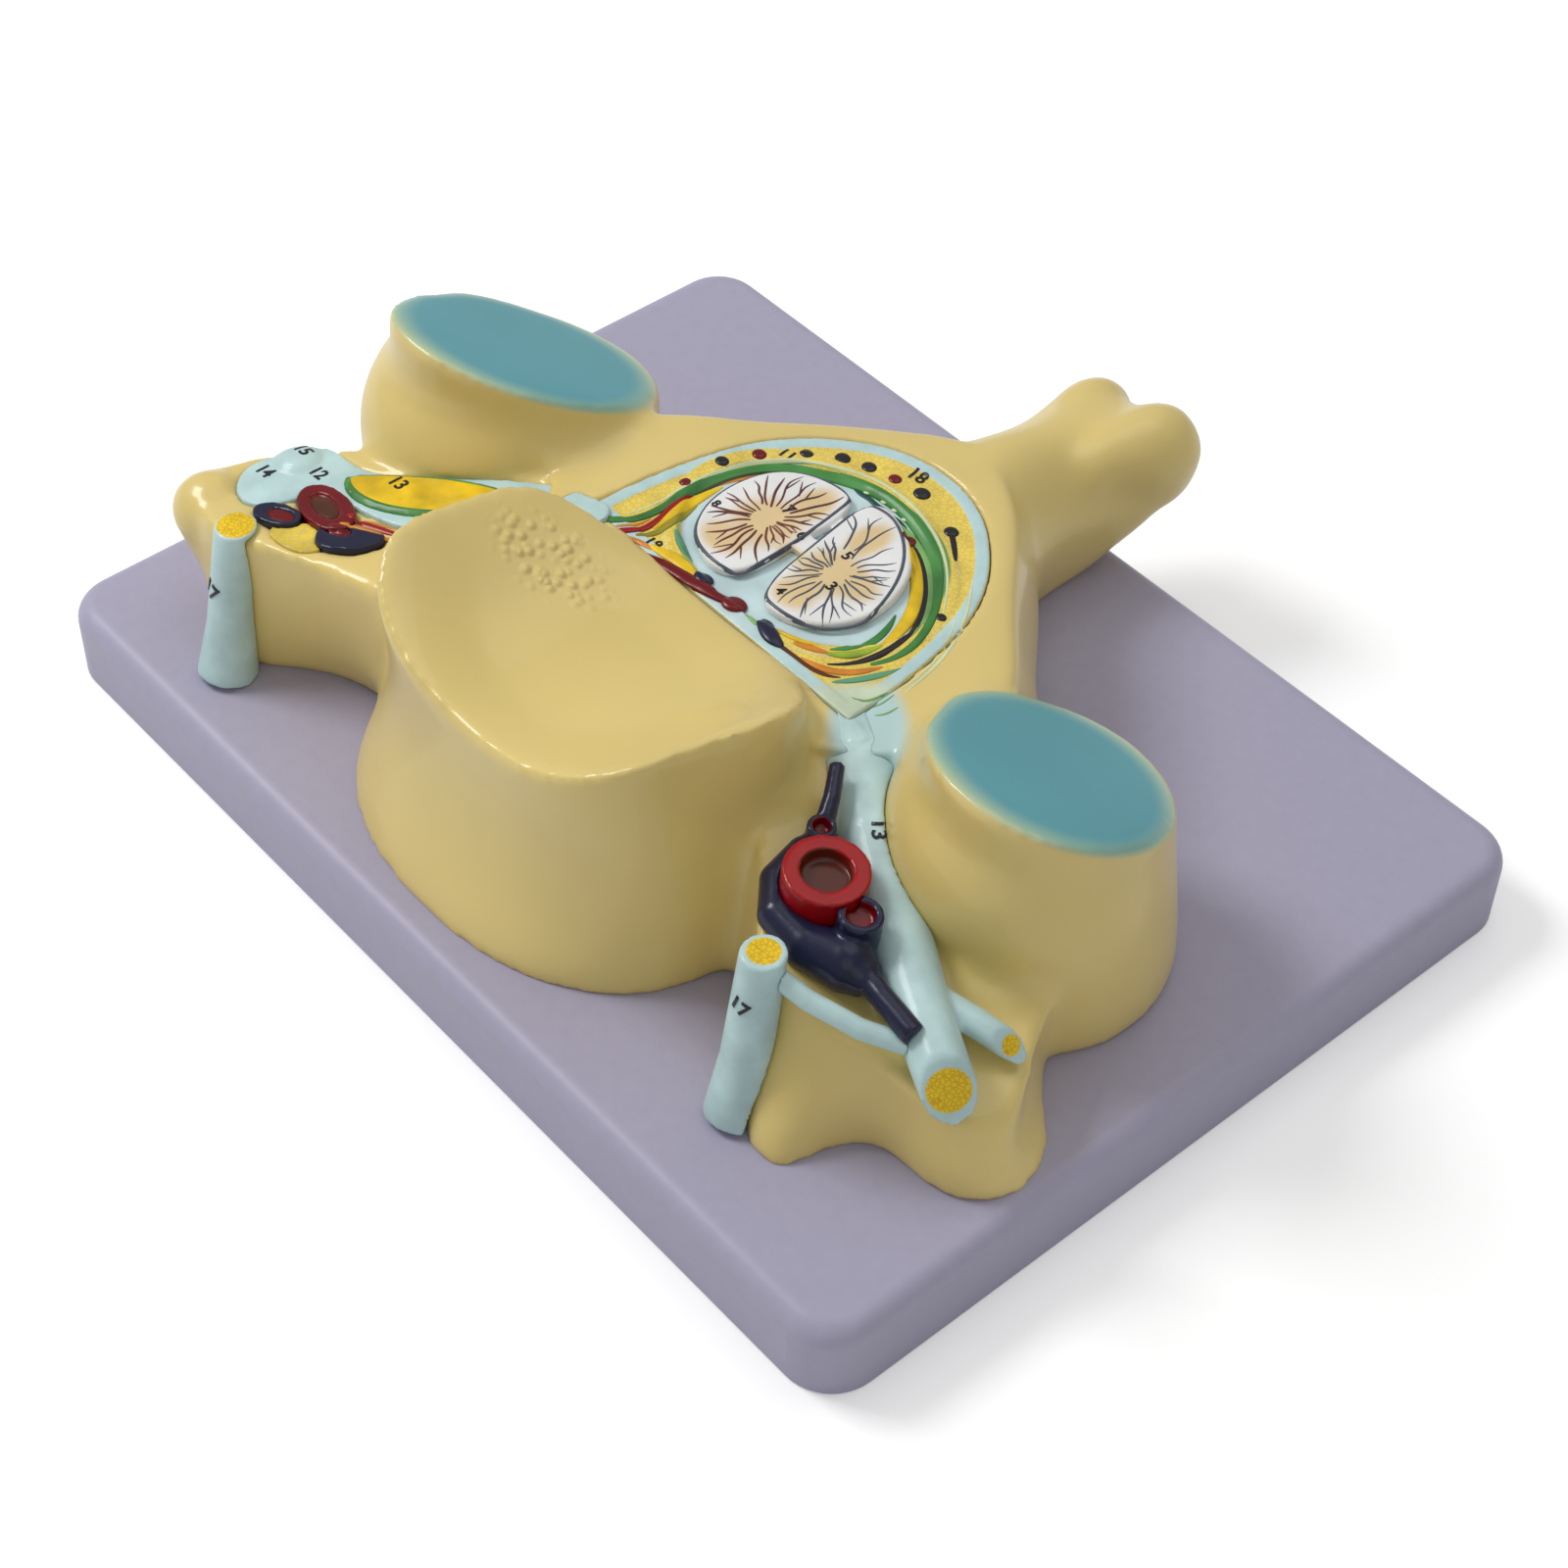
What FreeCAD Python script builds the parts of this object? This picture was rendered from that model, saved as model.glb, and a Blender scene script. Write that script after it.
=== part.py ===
import FreeCAD, Part
import math
import os

# Spine anatomy model: a cast neck vertebra, about five times life size, cut level through its canal,
# with its cord, nerves and vessels as inset castings, screwed to a hollow moulded base.
# Millimetres. X is the width, +Y points to the spinous process, +Z is up.
# While it is built the middle of the base is at X = Y = 0 with its underside at Z = 0. At the end
# everything is moved so that the origin is at the bottom centre of the whole model.

V = FreeCAD.Vector

# Base plate
PLATE_WIDTH = 350.0
PLATE_DEPTH = 260.0
PLATE_HEIGHT = 25.0
PLATE_CORNER_RADIUS = 15.0
PLATE_EDGE_RADIUS = 6.0
PLATE_WALL = 3.0
RIB_THICKNESS = 2.2
RIB_INSET = 1.5
RIB_SPACING = 88.0
BOSS_RADIUS = 7.0

# Screws from under the base into the casting
SCREW_RADIUS = 2.0
SCREW_HEAD_RADIUS = 4.0
SCREW_HEAD_HEIGHT = 2.6
SCREW_BITE = 12.0
SCREW_CLEARANCE = 0.25
SCREW_SEAT = 6.0
SCREW_PLACES = [(0.0, -88.0), (-105.0, 0.0), (105.0, 0.0), (0.0, 88.0)]

# Cut through the canal, as a level above the plate's top face
SECTION_LEVEL = 55.0
# The wings' upper faces start beside the canal and fall outwards
WING_START_X = 56.0
LEFT_FALL = 0.12
RIGHT_FALL = 0.29
RIGHT_SEAT_DROP = 3.0
# Rounded end of the left wing
WING_END = (-140.5, -93.0, 37.0)
WING_END_FOOT = (-135.0, -86.0, 0.0)
WING_END_RADIUS = 11.5

# Vertebral body
BODY_MIDDLE_Y = -62.0
BODY_HALF_WIDTH = 59.0
BODY_HALF_DEPTH = 44.0
BODY_FOOT_FLARE = 13.0
LIP_RISE = 21.0
DISH_LEVEL = 60.0

# Articular pillars and their facets
PILLAR_X = 110.5
PILLAR_Y = 0.5
FACET_LONG_RADIUS = 39.0
FACET_SHORT_RADIUS = 33.5
FACET_TURN = -53.0
FACET_LEVEL = 67.0
FACET_FALL = 0.5
PILLAR_SPREAD_LEFT = 5.0
PILLAR_SPREAD_RIGHT = 0.0

# Vertebral canal: corners of the polygon round half of its outline, from the back to the front
CANAL_HALF = [(16.5, 67), (45.5, 42), (54.5, 6), (56.8, -50)]
CANAL_FRONT_Y = -20.0
CANAL_DEPTH = 8.0
INSET_CLEARANCE = 0.2

# Spinous process
SPINE_HALF_WIDTH = 24.0
TUBERCLE_X = 14.0
TUBERCLE_RADIUS = 12.5
SPINE_TIP_Y = 152.0

# Spinal cord
CORD_MIDDLE = (-2.3, 16.0)
CORD_HALF_WIDTH = 33.5
CORD_HALF_DEPTH = 25.0
CORD_EDGE = 0.8
CORD_THICKNESS = 3.0
CORD_BRIDGE = 7.0

# Relief of the canal's cut face, measured down from the section level
RIM_WIDTH = 4.0
POOL_WIDTH = 9.0
DURA_WIDTH = 4.5
FAT_DROP = 0.7
FLUID_DROP = 1.6

# Left side: swelling of the nerve sheath's outer end, and hollows in the cut vessels
SHEATH_SWELL = (-131.0, -67.0, 36.5)
SHEATH_SWELL_RADIUS = 12.5
LUMEN_DEPTH = 0.9

# Sympathetic trunks: middle of the cut top, middle of the foot, and level of the top
TRUNK_LEFT = ((-116.5, -98.5), (-114.5, -109.0), 50.0)
TRUNK_RIGHT = ((101.0, -88.0), (104.0, -99.0), 53.0)

# Right side vessels and nerve
NERVE_CUT = (151.5, -71.0, 34.0)
NERVE_BRANCH_CUT = (150.0, -48.5, 32.0)
ARTERY_RADIUS = 11.5
ARTERY_BORE = 6.8
VEIN_RING_RADIUS = 6.0
VEIN_BORE = 3.8
TRUNK_TOP_RADIUS = 5.5
TRUNK_FOOT_RADIUS = 9.0
BRANCH_RADIUS = 2.8
ARTERY_HEIGHT = 14.5
BORE_DEPTH = 4.0
JOINT_SWELL = 1.01


def at_level(x, y, level):
    """Point at a level above the plate's top face."""
    return V(x, y, PLATE_HEIGHT + level)


def smooth_outline(points, level):
    """Closed smooth curve through plan points at one level."""
    curve = Part.BSplineCurve()
    curve.interpolate([at_level(x, y, level) for x, y in points], PeriodicFlag=True)
    return Part.Wire(curve.toShape())


def arc_outline(points, level=0.0):
    """Closed outline of arcs and lines: it touches the middle of each side of the polygon of points."""
    corners = [at_level(x, y, level) for x, y in points]
    count = len(corners)
    edges = []
    for i, corner in enumerate(corners):
        before = (corners[i - 1] + corner) * 0.5
        after = (corners[(i + 1) % count] + corner) * 0.5
        reach = min((before - corner).Length, (after - corner).Length)
        start = corner + (before - corner).normalize() * reach
        end = corner + (after - corner).normalize() * reach
        inward = ((start + end) * 0.5 - corner).normalize()
        half = math.asin((end - start).Length / (2 * reach))
        middle = corner + inward * (reach * (1 - math.sin(half)) / math.cos(half))
        if (before - start).Length > 0.01:
            edges.append(Part.makeLine(before, start))
        edges.append(Part.Arc(start, middle, end).toShape())
        if (after - end).Length > 0.01:
            edges.append(Part.makeLine(end, after))
    return Part.Wire(edges)


def oval_points(middle, half_x, half_y, power=2.0, turn=0.0, count=8):
    """Points round an oval: power 2 is an ellipse, and more is squarer."""
    points = []
    lean = math.radians(turn)
    for i in range(count):
        angle = 2 * math.pi * i / count
        c, s = math.cos(angle), math.sin(angle)
        x = half_x * math.copysign(abs(c) ** (2 / power), c)
        y = half_y * math.copysign(abs(s) ** (2 / power), s)
        points.append((middle[0] + x * math.cos(lean) - y * math.sin(lean),
                       middle[1] + x * math.sin(lean) + y * math.cos(lean)))
    return points


def oval(middle, half_x, half_y, level, power=2.0, turn=0.0, count=8):
    return smooth_outline(oval_points(middle, half_x, half_y, power, turn, count), level)


def loft(wires):
    return Part.makeLoft(wires, True, False)


def flipped(points):
    """Plan points on the other side of the middle plane, in the same turning order."""
    return [(-x, y) for x, y in reversed(points)]


def block_above(point, normal, size=600.0):
    """Block with one face through point, on the side that normal points to."""
    block = Part.makeBox(size, size, size, V(-size / 2, -size / 2, 0))
    block.Placement = FreeCAD.Placement(point, FreeCAD.Rotation(V(0, 0, 1), normal))
    return block


def right_seat(x):
    """Level of the right wing's upper face, on which the nerve and vessels sit."""
    return SECTION_LEVEL - RIGHT_SEAT_DROP - RIGHT_FALL * (x - WING_START_X)


def above_left_cut():
    return block_above(at_level(-WING_START_X, 0, SECTION_LEVEL), V(-LEFT_FALL, 0, 1))


def above_right_seat():
    return block_above(at_level(WING_START_X, 0, SECTION_LEVEL - RIGHT_SEAT_DROP), V(RIGHT_FALL, 0, 1))


def tube(stations):
    """Soft tube through stations of (x, y, level, radius): tapered runs with a round joint between them."""
    points = [at_level(x, y, level) for x, y, level, radius in stations]
    pieces = []
    for i in range(len(points) - 1):
        along = points[i + 1] - points[i]
        r, next_r = stations[i][3], stations[i + 1][3]
        if abs(next_r - r) < 0.01:
            pieces.append(Part.makeCylinder(r, along.Length, points[i], along))
        else:
            pieces.append(Part.makeCone(r, next_r, along.Length, points[i], along))
        if i:
            pieces.append(Part.makeSphere(r * JOINT_SWELL, points[i], along))
    return pieces[0].fuse(pieces[1:])


def vertebral_body():
    """Body with a flared foot, a waist and a dished top between two raised lips."""
    w, d, flare = BODY_HALF_WIDTH, BODY_HALF_DEPTH, BODY_FOOT_FLARE
    walls = loft([
        oval((-5, BODY_MIDDLE_Y), w + flare, d + flare + 2, 0, 2.3, count=12),
        oval((-3, BODY_MIDDLE_Y), w + flare - 3, d + 5, 18, 2.3, count=12),
        oval((0, BODY_MIDDLE_Y), w + 5, d - 1, 46, 2.6, count=12),
        oval((0, BODY_MIDDLE_Y), w + 1, d, 68, 3.0, count=12),
        oval((0, BODY_MIDDLE_Y), w - 1, d - 1, 96, 3.0, count=12),
    ])
    return walls.cut(dish())


def dish():
    """Cutter for the body's top: a trough from front to back that is deepest at the back."""
    sections = []
    reach = 2 * BODY_HALF_WIDTH
    low = DISH_LEVEL
    high = low + LIP_RISE
    for y, floor, lip in [(-135, low + 7, high + 5), (-105, low + 6, high + 3.5), (-80, low + 1.5, high + 1.7),
                          (-62, low, high - 2), (-45, low - 2, high - 5.5), (-30, low - 4, high - 10.5),
                          (-21, SECTION_LEVEL, low + 2), (0, SECTION_LEVEL - 4, SECTION_LEVEL - 2)]:
        rise = lip - floor
        half = BODY_HALF_WIDTH - 2
        edge = floor + rise * (reach / half) ** 2
        points = [at_level(x, y, floor + rise * (x / half) ** 2) for x in (-reach, -half, 0, half, reach)]
        curve = Part.BSplineCurve()
        curve.interpolate(points)
        top = PLATE_HEIGHT + edge + 60
        closing = Part.makePolygon([points[-1], V(reach, y, top), V(-reach, y, top), points[0]])
        sections.append(Part.Wire([curve.toShape()] + closing.Edges))
    return Part.makeLoft(sections, True, False)


def pillar(side):
    """Articular pillar on one side: an upright drum cut by its tilted facet, on a soft skirt."""
    a, b = FACET_LONG_RADIUS, FACET_SHORT_RADIUS
    turn = side * FACET_TURN
    middle = (side * PILLAR_X, PILLAR_Y)
    ellipse = Part.Ellipse(V(0, 0, 0), a, b).toShape()
    ellipse.rotate(V(0, 0, 0), V(0, 0, 1), turn)
    ellipse.translate(at_level(middle[0], middle[1], 0))
    drum = prism(Part.Wire(ellipse), FACET_LEVEL + a)
    spread = PILLAR_SPREAD_RIGHT if side > 0 else PILLAR_SPREAD_LEFT
    skirt = loft([oval((middle[0] + side * 1.5, PILLAR_Y), a + 1, b + 4, 0, 2, turn),
                  oval((middle[0], PILLAR_Y - 3 - spread), a + 1, b + 5, 24, 2, turn),
                  oval((middle[0] - 1.5, PILLAR_Y - 5 - spread), a + 2, b + 5, 44, 2, turn),
                  oval((middle[0] - 1.5, PILLAR_Y - 1), a - 1.5, b, FACET_LEVEL, 2, turn)])
    facet = block_above(at_level(middle[0], middle[1], FACET_LEVEL), V(0, FACET_FALL, 1))
    return drum.fuse(skirt).cut(facet)


def left_wing():
    """Left transverse process, cut by the falling section face."""
    foot = [(-40, -78), (-68, -80), (-91, -85), (-104, -95), (-116, -104), (-128, -104), (-139, -96),
            (-145, -84), (-148, -66), (-144, -44), (-128, -20), (-90, -10), (-40, -14)]
    top = [(-40, -84), (-68, -86), (-88, -91), (-103, -96), (-117, -102), (-131, -102), (-143, -97),
           (-149, -88), (-146, -79), (-140, -69), (-134, -60), (-127, -50), (-115, -30), (-90, -14), (-40, -14)]
    walls = loft([smooth_outline(foot, 0), smooth_outline(top, 36), smooth_outline(top, 75)])
    knob = at_level(*WING_END)
    foot = at_level(*WING_END_FOOT)
    neck = Part.makeCone(WING_END_RADIUS - 3, WING_END_RADIUS, (knob - foot).Length, foot, knob - foot)
    return walls.cut(above_left_cut()).fuse([neck, Part.makeSphere(WING_END_RADIUS, knob)])


def right_wing():
    """Right transverse process with its front and back tubercles and a falling seat for the nerve."""
    foot = [(40, -60), (67, -70), (88, -80), (104, -95), (115, -105), (125, -104), (129, -90),
            (135, -80), (148, -78), (163, -74), (171, -60), (166, -44), (152, -33), (138, -20), (100, -10),
            (40, -14)]
    top = [(40, -54), (60, -59), (73, -67), (84, -76), (95, -84), (105, -86), (112, -84), (119, -81),
           (128, -77), (140, -75), (152, -70), (159, -58), (157, -44), (152, -32), (142, -18), (100, -10),
           (40, -14)]
    waist = [(40, -57), (64, -64), (84, -78), (99, -89), (110, -95), (119, -93), (125, -85),
             (132, -79), (144, -76), (157, -72), (163, -60), (155, -47), (146, -35), (134, -19), (100, -10),
             (40, -14)]
    walls = loft([smooth_outline(foot, 0), smooth_outline(waist, 16), smooth_outline(top, 34),
                  smooth_outline(top, 60)])
    return walls.cut(above_right_seat())


def arch():
    """Lamina round the canal."""
    def ring(grow, level):
        half = [(0, 86 + grow), (25, 74 + grow), (42, 58 + grow), (57, 43 + grow), (72 + grow / 2, 29 + grow / 2),
                (82, 4)]
        points = half + [(70, -22), (-70, -22)] + flipped(half[1:])
        return smooth_outline(points, level)

    return loft([ring(6, 0), ring(8, 18), ring(3, 40), ring(-4, SECTION_LEVEL)])


def rib_outline(y, half, low, high, x=0.0):
    """Upright oval across the spinous process at one y."""
    middle = (low + high) / 2
    points = []
    for i in range(8):
        angle = 2 * math.pi * i / 8
        points.append(at_level(x + half * math.cos(angle), y, middle + (high - low) / 2 * math.sin(angle)))
    curve = Part.BSplineCurve()
    curve.interpolate(points, PeriodicFlag=True)
    return Part.Wire(curve.toShape())


def spinous_process():
    """Shaft of the spinous process with its two end tubercles."""
    w = SPINE_HALF_WIDTH
    shaft = loft([rib_outline(50, w + 18, -16, 56), rib_outline(75, w + 3, -12, 55), rib_outline(97, w - 4, -10, 53),
                  rib_outline(118, w - 2, -4, 48), rib_outline(136, w, 8, 45), rib_outline(146, w - 7, 14, 39)])
    shaft = shaft.cut(Part.makeBox(200, 400, 200, V(-100, -100, PLATE_HEIGHT - 200)))

    def tubercle(x, r, high, tip):
        low = high - 2.6 * r
        lean = math.copysign(5, x)
        return loft([rib_outline(tip - 42, r - 4, low + 6, high - 4, x - lean),
                     rib_outline(tip - 25, r - 1, low + 2, high, x - lean / 3),
                     rib_outline(tip - 12, r, low, high, x), rib_outline(tip - 4, r - 3, low + 4, high - 4, x),
                     rib_outline(tip, r - 8, low + 11, high - 11, x)])

    x, r = TUBERCLE_X, TUBERCLE_RADIUS
    return shaft.fuse([tubercle(x + 1, r + 1, 51, SPINE_TIP_Y), tubercle(3 - x, r - 2, 45, SPINE_TIP_Y)])


def prism(wire, height):
    return Part.Face(wire).extrude(V(0, 0, height))


def canal_block(shrink, floor, height):
    """Upright block that fills the canal, drawn in by shrink: a horseshoe of arcs with a straight front."""
    wire = arc_outline(CANAL_HALF + flipped(CANAL_HALF), floor)
    if shrink:
        wire = wire.makeOffset2D(-shrink)
    front = CANAL_FRONT_Y + shrink
    room = Part.makeBox(200, 200, height, at_level(-100, front, floor))
    return prism(wire, height).common(room)


def arc_oval(middle, half_x, half_y, level=0.0, turn=0.0):
    """Oval of arcs inside an eight-sided polygon."""
    reach = 1 / math.cos(math.pi / 8)
    return arc_outline(oval_points(middle, half_x * reach, half_y * reach, turn=turn), level)


def canal_section():
    """Inset for the canal: pale rim, fat band, dura ridge and the fluid space round the cord."""
    floor = SECTION_LEVEL - CANAL_DEPTH
    block = canal_block(INSET_CLEARANCE, floor, CANAL_DEPTH)
    inside = canal_block(RIM_WIDTH, floor, 2 * CANAL_DEPTH)
    fat = inside.common(Part.makeBox(200, 200, CANAL_DEPTH, at_level(-100, -100, SECTION_LEVEL - FAT_DROP)))
    middle = (CORD_MIDDLE[0] + 1, CORD_MIDDLE[1])
    half_x = CORD_HALF_WIDTH + POOL_WIDTH
    half_y = CORD_HALF_DEPTH + POOL_WIDTH - 3
    ridge = prism(arc_oval(middle, half_x + DURA_WIDTH, half_y + DURA_WIDTH, floor + 1), CANAL_DEPTH - 1)
    pool = prism(arc_oval(middle, half_x, half_y, SECTION_LEVEL - FLUID_DROP), CANAL_DEPTH)
    return block.cut(fat).fuse(ridge.common(inside)).cut(pool.common(inside)).removeSplitter()


def cord_half(outline):
    """One half of the cord's cut face, as a rounded tile on the floor of the fluid space."""
    floor = SECTION_LEVEL - FLUID_DROP
    cx = sum(x for x, y in outline) / len(outline)
    cy = sum(y for x, y in outline) / len(outline)
    inner = []
    for x, y in outline:
        share = 1 - CORD_EDGE / math.hypot(x - cx, y - cy)
        inner.append((cx + (x - cx) * share, cy + (y - cy) * share))
    return Part.makeLoft([smooth_outline(outline, floor), smooth_outline(outline, floor + CORD_THICKNESS - CORD_EDGE),
                          smooth_outline(inner, floor + CORD_THICKNESS)], True, True)


def spinal_cord():
    x, y = CORD_MIDDLE
    left = cord_half([(x - 3.5, y + 17), (x - 8, y + 22.5), (x - 19, y + 21.5), (x - 29, y + 14), (x - 33, y),
                      (x - 30, y - 14), (x - 20, y - 23.5), (x - 7, y - 24.5), (x - 2.5, y - 15), (x - 3, y)])
    right = cord_half([(x + 32.5, y - 4), (x + 31, y + 6), (x + 24, y + 17.5), (x + 12, y + 25), (x, y + 26),
                       (x - 2, y + 20), (x + 1, y), (x + 5, y - 18), (x + 10, y - 24), (x + 22, y - 22)])
    bridge = Part.makeBox(8, CORD_BRIDGE, CORD_THICKNESS - 0.8,
                          at_level(x - 5, y - CORD_BRIDGE / 2, SECTION_LEVEL - FLUID_DROP))
    return left.fuse([right, bridge])


def left_tile(outline, depth, proud):
    """Inset let into the left wing's cut face by depth, or above it by minus depth, and standing proud."""
    wire = outline if isinstance(outline, Part.Wire) else arc_outline(outline, 0)
    tile = prism(wire, depth + proud)
    tile.translate(V(0, 0, -depth))
    tile.translate(V(0, 0, SECTION_LEVEL))
    tile.rotate(at_level(-WING_START_X, 0, SECTION_LEVEL), V(0, 1, 0), -math.degrees(math.atan(LEFT_FALL)))
    return tile


def nerve_section_left():
    outline = [(-47, -15), (-68, -20), (-90, -36), (-112, -57), (-133, -56), (-139, -68), (-142, -80), (-132, -90),
               (-121, -88), (-114, -69), (-98, -68), (-82, -64), (-66, -44), (-46, -28)]
    swell = Part.makeSphere(SHEATH_SWELL_RADIUS, at_level(*SHEATH_SWELL))
    return left_tile(outline, 4.0, 0.5).fuse(swell.common(left_tile(outline, 1.0, SHEATH_SWELL_RADIUS)))


def ganglion_left():
    outline = [(-117, -63), (-104, -50), (-88, -38), (-70, -31), (-72, -45), (-86, -60), (-104, -67)]
    return left_tile(outline, 2.5, 1.4)


def left_lumen(outline, proud):
    """Cutter for the shallow hollow in a cut vessel whose face stands proud."""
    return left_tile(outline, LUMEN_DEPTH - proud, 2 * proud)


def vertebral_artery_left():
    proud = 2.0
    wall = left_tile(arc_oval((-106, -75), 12.5, 7.0, 0, -8), 3.0, proud)
    return wall.cut(left_lumen(arc_oval((-106.5, -75), 7.4, 3.4, 0, -8), proud))


def vertebral_veins_left():
    proud = 1.6
    first = left_tile(arc_oval((-114, -86.5), 8.0, 4.6, 0, 20), 3.0, proud)
    first = first.cut(left_lumen(arc_oval((-112.5, -86), 4.8, 2.5, 0, 20), proud))
    second = left_tile([(-102, -79), (-94, -73), (-81, -69), (-82, -79), (-94, -89)], 3.0, proud)
    second = second.cut(left_lumen(arc_oval((-94.5, -78.5), 4.2, 2.3, 0, 24), proud))
    return first, second


def fat_patch_left():
    return left_tile([(-114, -92), (-106, -82), (-97, -79), (-90, -89), (-102, -94)], 2.0, 0.3)


def trunk(top, foot, level):
    """Sympathetic trunk: a leaning column on a flared foot, with a level cut top."""
    start = at_level(foot[0], foot[1], 0)
    along = at_level(top[0], top[1], level) - start
    waist = TRUNK_TOP_RADIUS + 1.4
    flare = along.Length * 0.36
    pieces = [Part.makeCone(TRUNK_FOOT_RADIUS, waist, flare, start, along),
              Part.makeCone(waist, TRUNK_TOP_RADIUS, along.Length + 10, start + V(along).normalize() * flare, along)]
    column = pieces[0].fuse(pieces[1])
    column = column.cut(block_above(at_level(0, 0, level), V(0, 0, 1)))
    return column.cut(block_above(at_level(0, 0, 0), V(0, 0, -1)))


def sympathetic_trunk_left():
    return trunk(*TRUNK_LEFT)


def sympathetic_trunk_right():
    return trunk(*TRUNK_RIGHT)


def spinal_nerve_right():
    """Whole nerve from the canal's wall to its cut end, with its back branch."""
    stem = tube([(46, -13, 43, 12.5), (62, -22.5, 44, 12), (84, -36, 43, 10.5), (108, -49.5, 38, 9),
                 (134, -63, 35.5, 7.8), (160, -75, 32, 7.2)])
    stem = stem.cut(block_above(at_level(*NERVE_CUT), V(0.72, -0.45, 0.53)))
    branch = tube([(126, -57, 36, 4.5), (140, -52, 34, 4.0), (155, -47, 30, 3.8)])
    branch = branch.cut(block_above(at_level(*NERVE_BRANCH_CUT), V(0.8, 0, 0.6)))
    return stem.fuse(branch).cut(canal_block(0, 0, SECTION_LEVEL + CANAL_DEPTH))


def vertebral_artery_right():
    lean = V(0.1, 0.02, 1).normalize()
    base = at_level(91, -60.5, right_seat(91) - 3)
    wall = Part.makeCylinder(ARTERY_RADIUS, ARTERY_HEIGHT + 3, base, lean)
    bore = Part.makeCylinder(ARTERY_BORE, BORE_DEPTH + 1, base + lean * (ARTERY_HEIGHT + 3 - BORE_DEPTH), lean)
    return wall.cut(bore)


def vein_ring(x, y, low, high, radius, bore):
    """Upright cut end of a vein with a blind bore."""
    lean = V(0.12, 0.02, 1).normalize()
    base = at_level(x, y, low)
    wall = Part.makeCylinder(radius, high - low, base, lean)
    return wall, Part.makeCylinder(bore, BORE_DEPTH, base + lean * (high - low - BORE_DEPTH + 1), lean)


def vertebral_veins_right():
    """Venous plexus round the artery's foot, with its cut rings and tubes."""
    crescent = tube([(82, -47, 50, 3.6), (79, -56, 48, 4.4), (81, -66, 46, 5), (89, -73, 45, 5.4),
                     (100, -73, 43, 6.4), (110, -68.5, 42, 7.8), (118, -67.5, 41, 5)])
    distal = tube([(112, -67, 42, 4), (124, -69, 42, 3.3), (138, -70.5, 41, 3.3)])
    near = tube([(79.5, -50, 53, 2.8), (75, -43, 56.5, 2.4), (68.5, -35.5, 58.5, 2.2)])
    large, large_bore = vein_ring(106, -62, 40, 54, VEIN_RING_RADIUS, VEIN_BORE)
    small, small_bore = vein_ring(79, -51, 46, 56, 4.0, 2.4)
    return crescent.fuse([distal, near, large, small]).cut([large_bore, small_bore])


def communicating_branch_right():
    r = BRANCH_RADIUS
    return tube([(102, -88, 47.5, r), (114, -85, 44, r), (127, -78.5, 39.5, r), (138, -70, 36, r)])


def slab(inset, high):
    """Rounded rectangle of the base's outline, drawn in by inset."""
    box = Part.makeBox(PLATE_WIDTH - 2 * inset, PLATE_DEPTH - 2 * inset, high,
                       V(-PLATE_WIDTH / 2 + inset, -PLATE_DEPTH / 2 + inset, 0))
    upright = [e for e in box.Edges if abs(e.tangentAt(e.FirstParameter).z) > 0.9]
    return box.makeFillet(PLATE_CORNER_RADIUS - inset, upright)


def hollow_base():
    """Base plate: moulded tray, open below, with ribs and screw bosses."""
    outer = slab(0, PLATE_HEIGHT)
    rim = [e for e in outer.Edges if e.BoundBox.ZMin > PLATE_HEIGHT - 0.5]
    outer = outer.makeFillet(PLATE_EDGE_RADIUS, rim)
    hollow = slab(PLATE_WALL, PLATE_HEIGHT - PLATE_WALL)
    webs = [Part.makeBox(PLATE_WIDTH, RIB_THICKNESS, PLATE_HEIGHT, V(-PLATE_WIDTH / 2, -RIB_THICKNESS / 2, RIB_INSET))]
    for x in (-RIB_SPACING, 0, RIB_SPACING):
        webs.append(Part.makeBox(RIB_THICKNESS, PLATE_DEPTH, PLATE_HEIGHT,
                                 V(x - RIB_THICKNESS / 2, -PLATE_DEPTH / 2, RIB_INSET)))
    for x, y in SCREW_PLACES:
        webs.append(Part.makeCylinder(BOSS_RADIUS, PLATE_HEIGHT, V(x, y, RIB_INSET)))
    tray = outer.cut(hollow.cut(webs))

    head_room = SCREW_HEAD_RADIUS + SCREW_CLEARANCE * 2
    holes = []
    for x, y in SCREW_PLACES:
        holes.append(Part.makeCylinder(head_room, PLATE_HEIGHT - SCREW_SEAT, V(x, y, 0)))
        holes.append(Part.makeCylinder(SCREW_RADIUS + SCREW_CLEARANCE, PLATE_HEIGHT + 1, V(x, y, 0)))
    return tray.cut(holes)


def screw(x, y):
    seat = PLATE_HEIGHT - SCREW_SEAT
    head = Part.makeCylinder(SCREW_HEAD_RADIUS, SCREW_HEAD_HEIGHT, V(x, y, seat - SCREW_HEAD_HEIGHT))
    shank = Part.makeCylinder(SCREW_RADIUS, SCREW_SEAT + SCREW_BITE, V(x, y, seat))
    return head.fuse(shank)


def pilot_hole(x, y):
    return Part.makeCylinder(SCREW_RADIUS, SCREW_BITE, V(x, y, PLATE_HEIGHT))


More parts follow.
